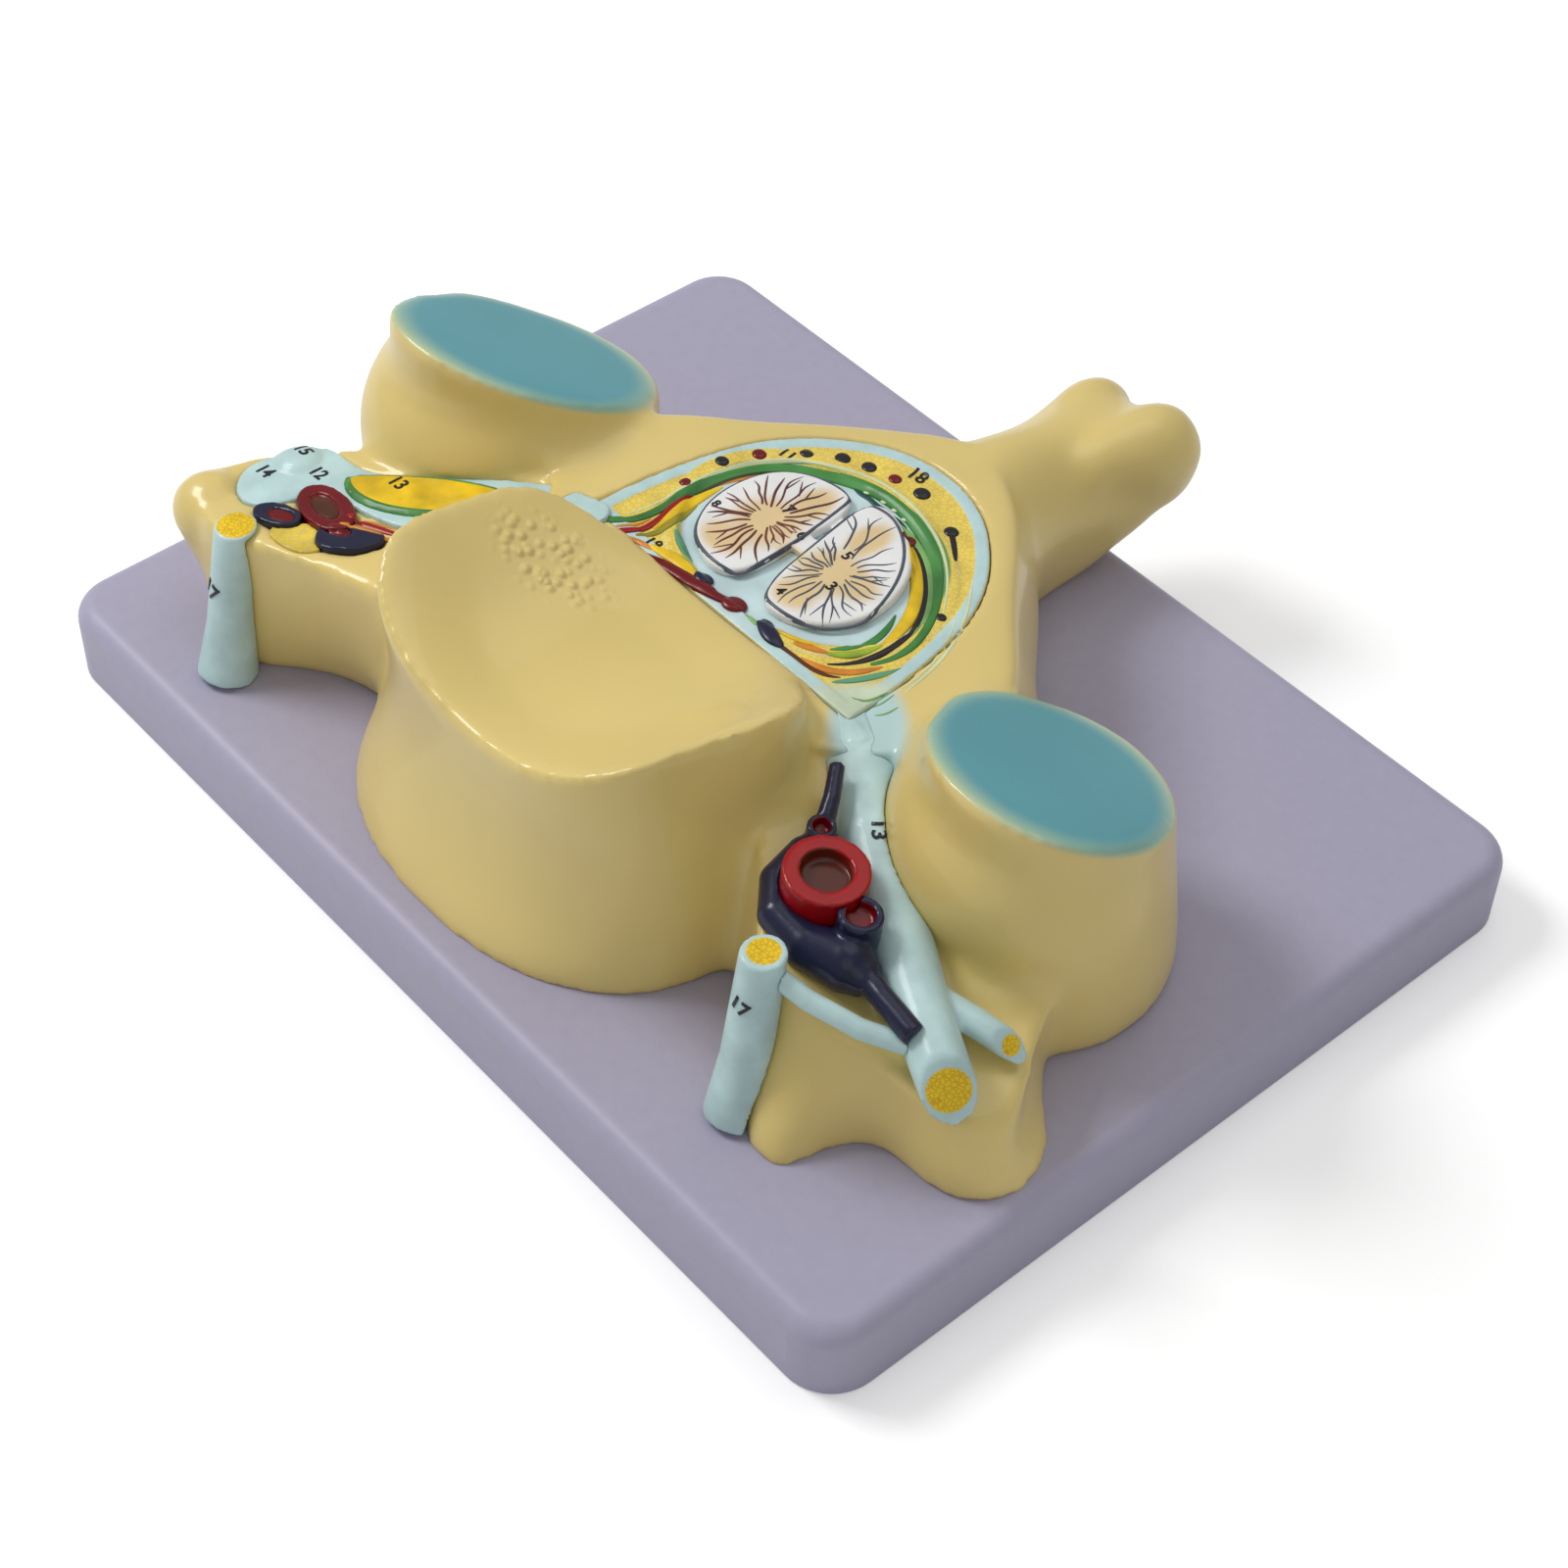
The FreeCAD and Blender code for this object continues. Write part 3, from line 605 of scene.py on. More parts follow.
@dataclass
class Brush:
    """Lays raised strokes, dots and key numbers on the pieces under them.

    Attributes:
        shop: Where the paints are mixed.
        carriers: The pieces that carry the paint.
        facing: The way the painted surface faces.
        up: The way the top of a number points.
        origin: Zero of the drawing in millimetres.
        rise: Share of a stroke's width that its raised profile has.
        number_lift: Height of the numbers' middle over the surface in millimetres.
    """
    shop: PaintShop
    carriers: Sequence[Object]
    facing: Place = (0.0, 0.0, 1.0)
    up: Place = (0.0, 1.0, 0.0)
    origin: Place = (0.0, 0.0, SECTION_TOP)
    rise: float = 0.16
    number_lift: float = 0.05
    _tree: Optional[BVHTree] = field(default=None, repr=False)

    # Distance off the surface from which the paint is laid down, in millimetres.
    REACH = 60.0
    # Type size, thickness and weight of the numbers for their height in millimetres.
    TYPE_SIZE, TYPE_THICKNESS, TYPE_WEIGHT = 1.35, 0.12, 0.03
    # Place beyond a stroke's end and share of its width there, for the two stations that round it off.
    ROUNDING = ((0.6, 0.75), (1.0, 0.12))

    def lay(self, name: str, paint: Paint, slot: Slot, parts: Iterable[Stroke | Dot]) -> Object:
        """Lays strokes and dots of one paint as one finished piece."""
        items = [self._path(part) if isinstance(part, Stroke) else self._dome(part) for part in parts]
        return self._seat(items, name, paint, slot)

    def numbers(self, name: str, slot: Slot, texts: Iterable[tuple[str, Point, float, float]]) -> Object:
        """Lays plain black numbers, each given by its text, middle, height and turn in degrees."""
        items = []
        for text, middle, size, turn in texts:
            bpy.ops.object.text_add(location=(0, 0, 0))
            item = newest()
            letters = item.data
            letters.body = text
            letters.size = size * self.TYPE_SIZE
            letters.align_x = letters.align_y = "CENTER"
            letters.extrude = self.TYPE_THICKNESS
            letters.offset = size * self.TYPE_WEIGHT
            letters.resolution_u = 3
            only(item)
            bpy.ops.object.convert(target="MESH")
            merge_points(item, 0.001, cuts=3)
            item.data.transform(Matrix.Translation((*middle, self.number_lift))
                                @ Matrix.Rotation(math.radians(turn), 4, "Z"))
            items.append(item)
        return self._seat(items, name, BLACK, slot)

    def _path(self, stroke: Stroke) -> Object:
        """Closed flattened tube along one stroke, in the drawing's own plane and in millimetres."""
        bpy.ops.curve.primitive_nurbs_path_add(location=(0, 0, 0))
        item = newest()
        curve = item.data
        curve.splines.clear()
        spline = curve.splines.new("NURBS")
        stations = self._stations(stroke)
        spline.points.add(len(stations) - 1)
        for point, (x, y, share) in zip(spline.points, stations):
            point.co = (x, y, 0, 1)
            point.radius = share
        spline.order_u = min(4, len(stations))
        spline.use_endpoint_u = not stroke.closed
        spline.use_cyclic_u = stroke.closed
        spline.resolution_u = 4
        curve.dimensions = "3D"
        curve.twist_mode = "Z_UP"
        curve.bevel_depth = stroke.width / 2
        curve.bevel_resolution = 2
        curve.use_fill_caps = True
        only(item)
        bpy.ops.object.convert(target="MESH")
        flat = Matrix.Diagonal((1, 1, self.rise * 2, 1))
        item.data.transform(Matrix.Translation((0, 0, stroke.lift)) @ flat)
        return item

    def _stations(self, stroke: Stroke) -> list[Place]:
        """Places along a stroke with their share of its width, rounded off at the two tips."""
        if stroke.closed:
            return [(x, y, 1.0) for x, y in stroke.points]
        stations = []
        for index, (x, y) in enumerate(stroke.points):
            along = index / (len(stroke.points) - 1)
            tip = stroke.tips[0] if along < 0.5 else stroke.tips[1]
            stations.append((x, y, tip + (1 - tip) * min(min(along, 1 - along) * 4, 1.0)))
        head = self._rounded(stations[0], stations[1], stroke.width)
        tail = self._rounded(stations[-1], stations[-2], stroke.width)
        return head[::-1] + stations + tail

    def _rounded(self, end: Place, inner: Place, width: float) -> list[Place]:
        """Two stations beyond a stroke's end, away from the station before it."""
        away = Vector(end[:2]) - Vector(inner[:2])
        away.normalize()
        half = width / 2 * end[2]
        return [(end[0] + away.x * half * out, end[1] + away.y * half * out, end[2] * share)
                for out, share in self.ROUNDING]

    @staticmethod
    def _dome(dot: Dot) -> Object:
        """Low dome of paint in the drawing's own plane and in millimetres."""
        bpy.ops.mesh.primitive_uv_sphere_add(segments=20, ring_count=8, radius=1.0, location=(0, 0, 0))
        item = newest()
        turn = Matrix.Rotation(math.radians(dot.turn), 4, "Z")
        flat = Matrix.Diagonal((*dot.radii, min(dot.radii) * dot.height, 1))
        item.data.transform(Matrix.Translation((*dot.middle, dot.lift)) @ turn @ flat)
        return item

    def _seat(self, items: Sequence[Object], name: str, paint: Paint, slot: Slot) -> Object:
        """Joins the parts of a piece and lays them on the carriers."""
        bpy.ops.object.select_all(action="DESELECT")
        for item in items:
            item.select_set(True)
        item = bpy.context.view_layer.objects.active = items[0]
        if len(items) > 1:
            bpy.ops.object.join()
        if self._tree is None:
            self._tree = surface(self.carriers)
        outward = Vector(self.facing).normalized()
        top = Vector(self.up)
        top = (top - outward * top.dot(outward)).normalized()
        across = top.cross(outward)
        start = Vector(self.origin)
        missed = 0
        for vertex in item.data.vertices:
            x, y, height = vertex.co
            place = (start + across * x + top * y) * MM
            hit = self._tree.ray_cast(place + outward * self.REACH * MM, -outward)[0]
            missed += hit is None
            vertex.co = (place if hit is None else hit) + outward * height * MM
        if missed:
            LOG.warning("%s: %d vertices off the surface", name, missed)
        return finish(item, name, self.shop.material(paint))


def cut_vessels(*places: Place) -> list[Dot]:
    """Nearly round dots, each by its middle and its half width."""
    return [Dot((x, y), (radius, radius * 0.9)) for x, y, radius in places]


# The canal's cut face: each entry is one piece with its paint and its strokes or dots.
CANAL_WORK = (
    # Green dura mater round the back of the canal, with a pale line painted as the highlight on its outer
    # edge, and its teal marks.
    ("dura_green", GREEN, [Stroke(((-52.6, -17.1), (-49.5, -16), (-47, -11.7), (-45.2, -6.7), (-45, 0),
        (-45.8, 8), (-45.7, 15), (-45, 22), (-43, 28), (-40.2, 33.2), (-36.5, 37.3), (-32, 41), (-26.8, 43.8),
        (-21.4, 46.5), (-15.8, 49), (-9, 50.5), (-1.4, 50.6), (6.5, 49.1), (14, 46.6), (20.4, 43.5),
        (26.7, 38.5), (32.9, 32.3), (37.8, 26), (41.2, 19.3), (42.5, 13), (41.8, 6.9), (39.9, 2.3)), 3.6,
        (0.7, 0.4))]),
    # Painted highlight: a pale line along the dura's outer edge.
    ("dura_pale_edge", PALE_LINE_AND_HIGHLIGHT, [Stroke(((-49.6, -10.3), (-48, -4.8), (-47.6, 2), (-47.7, 9.5), (-47.4, 15),
        (-46.9, 20.4), (-45.6, 26.7), (-43.3, 32), (-38.8, 38.6), (-33, 44), (-27.4, 47.3), (-21.6, 50.4),
        (-15.6, 52.6), (-10.2, 53.8), (-2, 53.8), (5.6, 52.5), (13.2, 50), (20, 46.8), (27, 42), (34, 35),
        (39.5, 28)), 1.4, (0.4, 0.4))]),
    ("dura_light_green", LIGHT_GREEN, [Stroke(((-3.6, 46.7), (3.6, 46.4), (10.4, 45), (17.3, 42.4),
        (23.5, 38.6), (29.5, 33.4), (34, 27.8), (37.3, 22), (39, 16.6)), 2.6, (0.3, 0.3))]),
    ("dura_teal_marks", TEAL_LINE, [Stroke(((-17.6, 46.9), (-14.4, 46.3), (-11.4, 47.3), (-8.1, 46.6),
        (-5, 47.2), (-2.2, 46.6), (1.2, 47.4), (5.5, 46.4)), 1.8, (0.6, 0.4), lift=0.1)]),
    ("dura_pale_marks", PALE_LINE_AND_HIGHLIGHT, [
        Dot(middle, (1.0, 0.6), 20.0, lift=0.3)
        for middle in ((-13.7, 48), (-7.5, 49), (-2.9, 49), (1.8, 48.6))]),
    # Yellow, dark and green bands in the fluid space on the right.
    ("right_yellow_band", YELLOW, [Stroke(((11.8, 42), (17.5, 38.7), (23, 34.2), (27.7, 29.8), (31.5, 24.5),
        (33.9, 19.5), (35.4, 14), (35.7, 9)), 4.2, (0.5, 0.4))]),
    ("right_dark_line", BLACK, [Stroke(((10.2, 44.2), (15.5, 42.3), (21.4, 38.6), (27.5, 33.4), (32, 28.4),
        (35.7, 23), (38.2, 17.4), (39.2, 11.2), (39, 5.7), (37.5, 0.7), (35, -4), (32.3, -6.9)), 2.0,
        (0.6, 0.3), lift=0.1)]),
    ("right_lime_line", LIME, [
        Stroke(((36.6, 8.4), (35.8, 3.2), (33.4, -1.2), (29.8, -4.6)), 2.8, (0.4, 0.4))]),
    ("right_inner_green", GREEN, [Stroke(((29.1, 20.5), (31.7, 15.7), (33, 10), (32.8, 4.7), (31.2, 0.1),
        (29, -3)), 2.6, (0.3, 0.3))]),
    # Orange, brown and blue strips where the bands run out at the front.
    ("foot_yellow", YELLOW, [
        Stroke(((12.6, -8.6), (17.3, -7.8), (21.2, -6.6), (25.4, -4.6)), 3.0, (0.7, 0.3))]),
    ("foot_orange", ORANGE, [
        Stroke(((21, -8.8), (25.2, -6.8), (30, -4.2)), 2.8, (0.5, 0.3)),
        Stroke(((26, -11), (31, -9.8), (35.2, -7.8), (38.4, -4.8), (40.8, -0.8), (42.4, 3.5)), 2.6,
            (0.5, 0.3))]),
    ("foot_brown", DEEP_BROWN, [Stroke(((16.1, -12.9), (20.5, -12.3), (24.3, -11.9), (28.3, -11.8),
        (32.3, -11.2), (35.9, -9.8), (38.2, -7.7)), 1.7, (0.9, 0.3), lift=0.05)]),
    ("foot_aqua", AQUA_GREEN, [
        Stroke(((38.4, -10.2), (40.8, -6.6), (43, -2.5), (44.9, 2.2), (46.2, 6.7)), 2.4, (0.4, 0.3))]),
    # Red, orange, yellow and green strips in the fluid space on the left.
    ("left_red_line", RED, [
        Stroke(((-45.6, -17.9), (-43.2, -15.1), (-41.7, -12.2), (-41.4, -8.6), (-42, -4.2), (-43.3, 1.2),
            (-44.2, 5.9), (-44.4, 9.4)), 2.4, (0.9, 0.3), lift=0.1),
        Stroke(((-33, 38.5), (-28.6, 39)), 2.8, (0.8, 0.8))]),
    ("left_orange_line", ORANGE, [
        Stroke(((-47.4, -17), (-45, -14.1), (-43.7, -10.2), (-43.6, -6.4)), 1.3, (0.5, 0.3)),
        Stroke(((-43.4, 17), (-42, 22.9), (-40, 27.8), (-37.2, 32.2), (-34.2, 35.7), (-32, 38.2)), 1.8,
            (0.4, 0.4))]),
    ("left_yellow_band", YELLOW, [Stroke(((-40, -8.2), (-40.4, -2.4), (-41.5, 2.9), (-42.2, 8), (-42.4, 13),
        (-42, 18)), 3.6, (0.4, 0.3))]),
    ("left_olive_band", OLIVE_YELLOW, [Stroke(((-40.2, -14.2), (-38.2, -10.5), (-37.7, -6.2), (-38.4, -1.7),
        (-39.6, 2.8), (-40.4, 7.5)), 2.6, (0.5, 0.3))]),
    ("left_olive_line", OLIVE, [Stroke(((-44.4, 9.4), (-44.2, 15.4), (-43.1, 21.8), (-41, 27.5),
        (-37.6, 32.6)), 1.6, (0.4, 0.3), lift=0.1)]),
    ("left_aqua_line", AQUA_GREEN, [
        Stroke(((-34.8, -4.7), (-31.4, -6.2), (-27.4, -8), (-22.9, -8.8)), 2.8, (0.4, 0.3))]),
    # Yellow ligament and the red and navy vessels in front of the cord.
    ("front_yellow", YELLOW, [
        Stroke(((-33.6, -14), (-29.4, -13), (-24.9, -12.4), (-20, -12.4), (-16, -13)), 4.4, (0.5, 0.5))]),
    ("front_orange", ORANGE, [Stroke(((-41, -16.6), (-37, -15.4), (-33.3, -15)), 2.4, (0.4, 0.5))]),
    ("front_red", DARK_RED, [Stroke(((-32, -17.4), (-24.9, -16.2), (-17.6, -15.2), (-12, -14.2), (-7.2, -13),
        (-3, -11.6)), 4.6, (0.3, 1.0), lift=0.25)]),
    ("front_red_ends", DARK_RED, [
        Dot((-1.7, -11.3), (4.0, 3.6), lift=0.3), Dot((9.4, 43.5), (2.2, 1.9), lift=0.3)]),
    ("front_navy", NAVY, [
        Stroke(((9.4, -9.6), (12.1, -11.2), (15.4, -12.5), (18.6, -12.5)), 5.0, (1.0, 0.6), lift=0.25)]),
    ("front_navy_dot", NAVY, [Dot((-14.8, -11.2), (3.0, 2.7), lift=0.4)]),
    ("front_green", LIGHT_GREEN, [Stroke(((3.6, -11.2), (8.4, -12)), 2.8, (0.6, 0.6))]),
    # Cut vessels in the fat band.
    ("fat_red_dots", DARK_RED, cut_vessels((-49.1, 10.3, 1.9), (-44.8, 34.4, 2.3), (-12.4, 57.8, 2.1))),
    ("fat_black_dots", BLACK, cut_vessels((-49.3, 24.2, 2.2), (-36.6, 45.3, 2.2), (-28.7, 52.2, 2.5),
        (-21, 55.5, 2.4), (-2.8, 59.4, 2.7), (14.5, 54.8, 2.3), (38.8, 28.5, 1.6))),
    ("fat_comma", BLACK, [Stroke(((14.5, 54.8), (17.8, 52.5), (21.1, 50), (24.2, 47.4)), 1.8, (1.0, 0.6))]),
)

# Pale edge lines and green scribble round the canal's right corner, which reach over onto the bone.
CORNER_WORK = (
    ("corner_lines", PALE_LINE_AND_HIGHLIGHT, [
        Stroke(((32.7, 45.8), (38.7, 39.4), (44.3, 32), (48.6, 24), (51.6, 15.8), (53.2, 8.3), (54, 1.6)),
            1.1),
        Stroke(((42, 31.2), (47.4, 22.6), (50.5, 14.4), (52.2, 6.4), (52.2, 0.7)), 0.9)]),
    ("corner_scribble", LIGHT_GREEN, [
        Stroke(((46.1, -10.2), (49.8, -9.7), (50.7, -6.3), (51, -2)), 0.9),
        Stroke(((51.9, -10.1), (53.4, -6.6), (52.8, -1.5)), 0.8),
        Stroke(((55.4, -10.5), (57.1, -7.9), (57, -3.9)), 0.9)]),
)


@dataclass
class CordLines:
    """Fine lines on the cord's two halves.

    Attributes:
        seed: Seed of the branching lines.
        rays: How many lines run out from each middle.
        wander: Largest turn of a line's points from its way, in radians.
        forked: Share of the lines that fork.
        shortest: Length under which a line is left out, in millimetres.
    """
    seed: int = 7
    rays: int = 26
    wander: float = 0.09
    forked: float = 0.45
    shortest: float = 3.0

    LEFT_EDGE = ((-38, 28), (-33, 36), (-25, 40.5), (-15, 42), (-12, 41), (-11, 35), (-9.5, 25), (-8.5, 10),
                 (-8.5, 0), (-10, -5), (-20, -6), (-30, -3), (-36, 5), (-39, 15))
    RIGHT_EDGE = ((-8, 43), (-3, 44.5), (2, 44.5), (8, 42), (15, 37), (22, 28), (27, 15), (27, 8), (22, 0),
                  (15, -4), (5, -5), (1, -3), (-2, 5), (-4, 15), (-6, 28), (-8, 40))
    LEFT_MIDDLE, RIGHT_MIDDLE = (-21, 17), (8, 17)

    def build(self, brush: Brush) -> None:
        """Draws the outlines, the branching lines and the numbers."""
        outlines = [Stroke(edge, 1.0, closed=True) for edge in (self.LEFT_EDGE, self.RIGHT_EDGE)]
        brush.lay("cord_outlines", SLATE, Slot.CORD, outlines)
        rng = random.Random(self.seed)
        left = self._branching(rng, self.LEFT_MIDDLE, self.LEFT_EDGE, 0.75)
        right = self._branching(rng, self.RIGHT_MIDDLE, self.RIGHT_EDGE, 0.65)
        brush.lay("cord_left_lines", BROWN_LINE, Slot.CORD, left)
        brush.lay("cord_right_lines", SLATE, Slot.CORD, right)
        brush.numbers("cord_numbers", Slot.CORD, [
            ("7", (-20, 24), 4, 0), ("6", (-9.6, 20), 3.4, 0), ("5", (5, 24), 3.6, 0),
            ("3", (11.5, 12.5), 3.8, 0), ("4", (4, 0.5), 3.4, 0), ("8", (-35, 10), 3, 0)])

    def _branching(self, rng: random.Random, middle: Point, edge: Sequence[Point],
                   width: float) -> list[Stroke]:
        """Wavering lines from a middle towards a closed edge that they stop short of, some of them forked."""
        strokes = []
        for index in range(self.rays):
            angle = 2 * math.pi * (index + rng.uniform(-0.3, 0.3)) / self.rays
            reach = self._reach(middle, edge, angle) * rng.uniform(0.82, 0.94)
            start = rng.uniform(0.25, 0.4) * reach
            if reach - start < self.shortest:
                continue
            path = []
            for step in range(5):
                radius = start + (reach - start) * step / 4
                bend = angle + rng.uniform(-self.wander, self.wander) * (1 if step else 0)
                path.append(self._beyond(middle, radius, bend))
            strokes.append(Stroke(tuple(path), width * rng.uniform(0.8, 1.2), (0.9, 0.35)))
            if rng.random() < self.forked:
                fork = path[2]
                side = rng.choice((-1, 1)) * rng.uniform(0.35, 0.6)
                tip = self._beyond(fork, (reach - start) * 0.42, angle + side)
                between = ((fork[0] + tip[0]) / 2, (fork[1] + tip[1]) / 2)
                strokes.append(Stroke((fork, between, tip), width * 0.8, (0.9, 0.4)))
        return strokes

    @staticmethod
    def _beyond(start: Point, distance: float, angle: float) -> Point:
        """The point at a distance and an angle from another."""
        return start[0] + distance * math.cos(angle), start[1] + distance * math.sin(angle)

    @staticmethod
    def _reach(middle: Point, edge: Sequence[Point], angle: float) -> float:
        """Distance from a middle to a closed outline along an angle."""
        direction = Vector((math.cos(angle), math.sin(angle)))
        best = 0.0
        for start, end in zip(edge, edge[1:] + edge[:1]):
            away = Vector(start) - Vector(middle)
            side = Vector(end) - Vector(start)
            cross = direction.x * side.y - direction.y * side.x
            if abs(cross) < 1e-9:
                continue
            along = (away.x * side.y - away.y * side.x) / cross
            share = (away.x * direction.y - away.y * direction.x) / cross
            if along > 0 and 0 <= share <= 1:
                best = max(best, along)
        return best


LEFT_NODES = ("nerve_section_left", "ganglion_left", "vertebral_artery_left", "vertebral_veins_left",
              "fat_patch_left")

# The left wing's cut face: green border of the ganglion, vessel walls and their hollows.
LEFT_WING_WORK = (
    ("ganglion_border", GREEN, Slot.YELLOW, [
        Stroke(((-114, -61), (-110.5, -56.5), (-103, -49.8), (-96, -44), (-88, -39), (-79, -34.5),
            (-72, -33.4)), 1.5, (0.7, 0.6)),
        Stroke(((-114.2, -61.8), (-110.5, -64.8), (-103, -65.6), (-95, -63.5), (-87, -59), (-79, -52),
            (-73, -44), (-70.8, -37)), 2.8, (0.6, 0.7))]),
    ("left_vessel_tail", RED, Slot.ARTERY, [
        Stroke(((-97, -72.5), (-91, -70), (-85, -68), (-79, -65.5)), 2.6, (1.0, 0.5))]),
    ("left_tail_fat", ORANGE, Slot.YELLOW, [
        Stroke(((-96, -76.5), (-91, -73.6), (-85, -71), (-79, -68.5)), 2.0, (0.6, 0.5)),
        Stroke(((-95, -70.5), (-90, -67.8), (-85, -65.8)), 1.6, (0.6, 0.5))]),
    ("left_artery_lumen", DEEP_BROWN, Slot.ARTERY, [Dot((-106.5, -75), (6.6, 2.9), -8.0, 0.12)]),
    ("left_artery_swirl", BLACK, Slot.ARTERY, [
        Stroke(((-109.5, -75.2), (-107.5, -76.8), (-104.8, -75.6), (-105.6, -73.8), (-108.2, -74)), 0.9)]),
    ("left_vein_lumens", DARK_RED, Slot.VEIN, [
        Dot((-112.5, -86), (4.4, 2.2), 20.0, 0.15), Dot((-94.5, -78.5), (3.8, 2.0), 24.0, 0.15)]),
)

# Key numbers on standing surfaces: piece, solid, facing of the surface, up and zero of the text, and text.
STANDING_NUMBERS = (
    ("nerve_number", "spinal_nerve_right", (0.5, -0.45, 0.73), (0.65, 0.76, 0.0),
     (86.5, -37 + BASE_SHIFT_Y, PLATE_TOP + 50), ("13", (0, 0), 4.2, 0)),
    ("trunk_right_number", "sympathetic_trunk_right", (0.48, -0.88, 0.0), (0.0, 0.0, 1.0),
     (102.1, -92 + BASE_SHIFT_Y, PLATE_TOP + 34), ("17", (-2.2, 6.0), 4.2, -18)),
    ("trunk_left_number", "sympathetic_trunk_left", (0.06, -1.0, 0.0), (0.0, 0.0, 1.0),
     (-117.5, -102.5 + BASE_SHIFT_Y, PLATE_TOP + 31), ("17", (0, 0), 5.0, -18)),
)


def paint_details(shop: PaintShop, bone: Object, made: dict[str, Object]) -> None:
    """Lays all strokes, dots and key numbers on the bone and on the castings, by their solids' names."""
    origin = (*CANAL_SHIFT, SECTION_TOP)
    carriers = [made["canal_section"], made["spinal_cord"]]
    canal = Brush(shop, carriers, origin=origin)
    for brush, work in ((canal, CANAL_WORK), (Brush(shop, [bone, *carriers], origin=origin), CORNER_WORK)):
        for name, paint, parts in work:
            brush.lay(name, paint, Slot.CANAL, parts)
    canal.numbers("canal_numbers", Slot.CANAL, [("11", (-39.6, 40.4), 4.0, 8), ("18", (-9.2, 63.4), 4.6, 8),
                                                ("19", (-35, -12.6), 3.6, 12)])
    CordLines().build(Brush(shop, [made["spinal_cord"]], origin=origin, rise=0.3))
    wing = Brush(shop, [bone, *(made[node] for node in LEFT_NODES)], origin=(0, BASE_SHIFT_Y, SECTION_TOP))
    for name, paint, slot, parts in LEFT_WING_WORK:
        wing.lay(name, paint, slot, parts)
    wing.numbers("left_wing_numbers", Slot.NERVE, [
        ("15", (-133, -64.5), 4.4, 0), ("12", (-122.5, -66.5), 4.4, 0), ("14", (-134.5, -77), 4.4, 0),
        ("13", (-101, -53.5), 4.6, 0)])
    for name, node, facing, up, zero, text in STANDING_NUMBERS:
        Brush(shop, [made[node]], facing, up, zero, number_lift=0.2).numbers(name, Slot.NERVE, [text])


def dress_base(shop: PaintShop) -> None:
    """Gives the frame's own plate its satin moulding and its screws their steel."""
    satin = Paint("moulded_plate", srgb(166, 162, 184), 0.42, 0.02, 0.9, 0.03, 0.0)
    steel = Paint("plated_steel", srgb(190, 190, 194), 0.3, 0.05, 0.6, 0.01, 0.0, metal=1.0)
    for node, paint in (("base_plate", satin), ("mounting_screws", steel)):
        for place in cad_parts[node].material_slots:
            place.material = shop.material(paint)


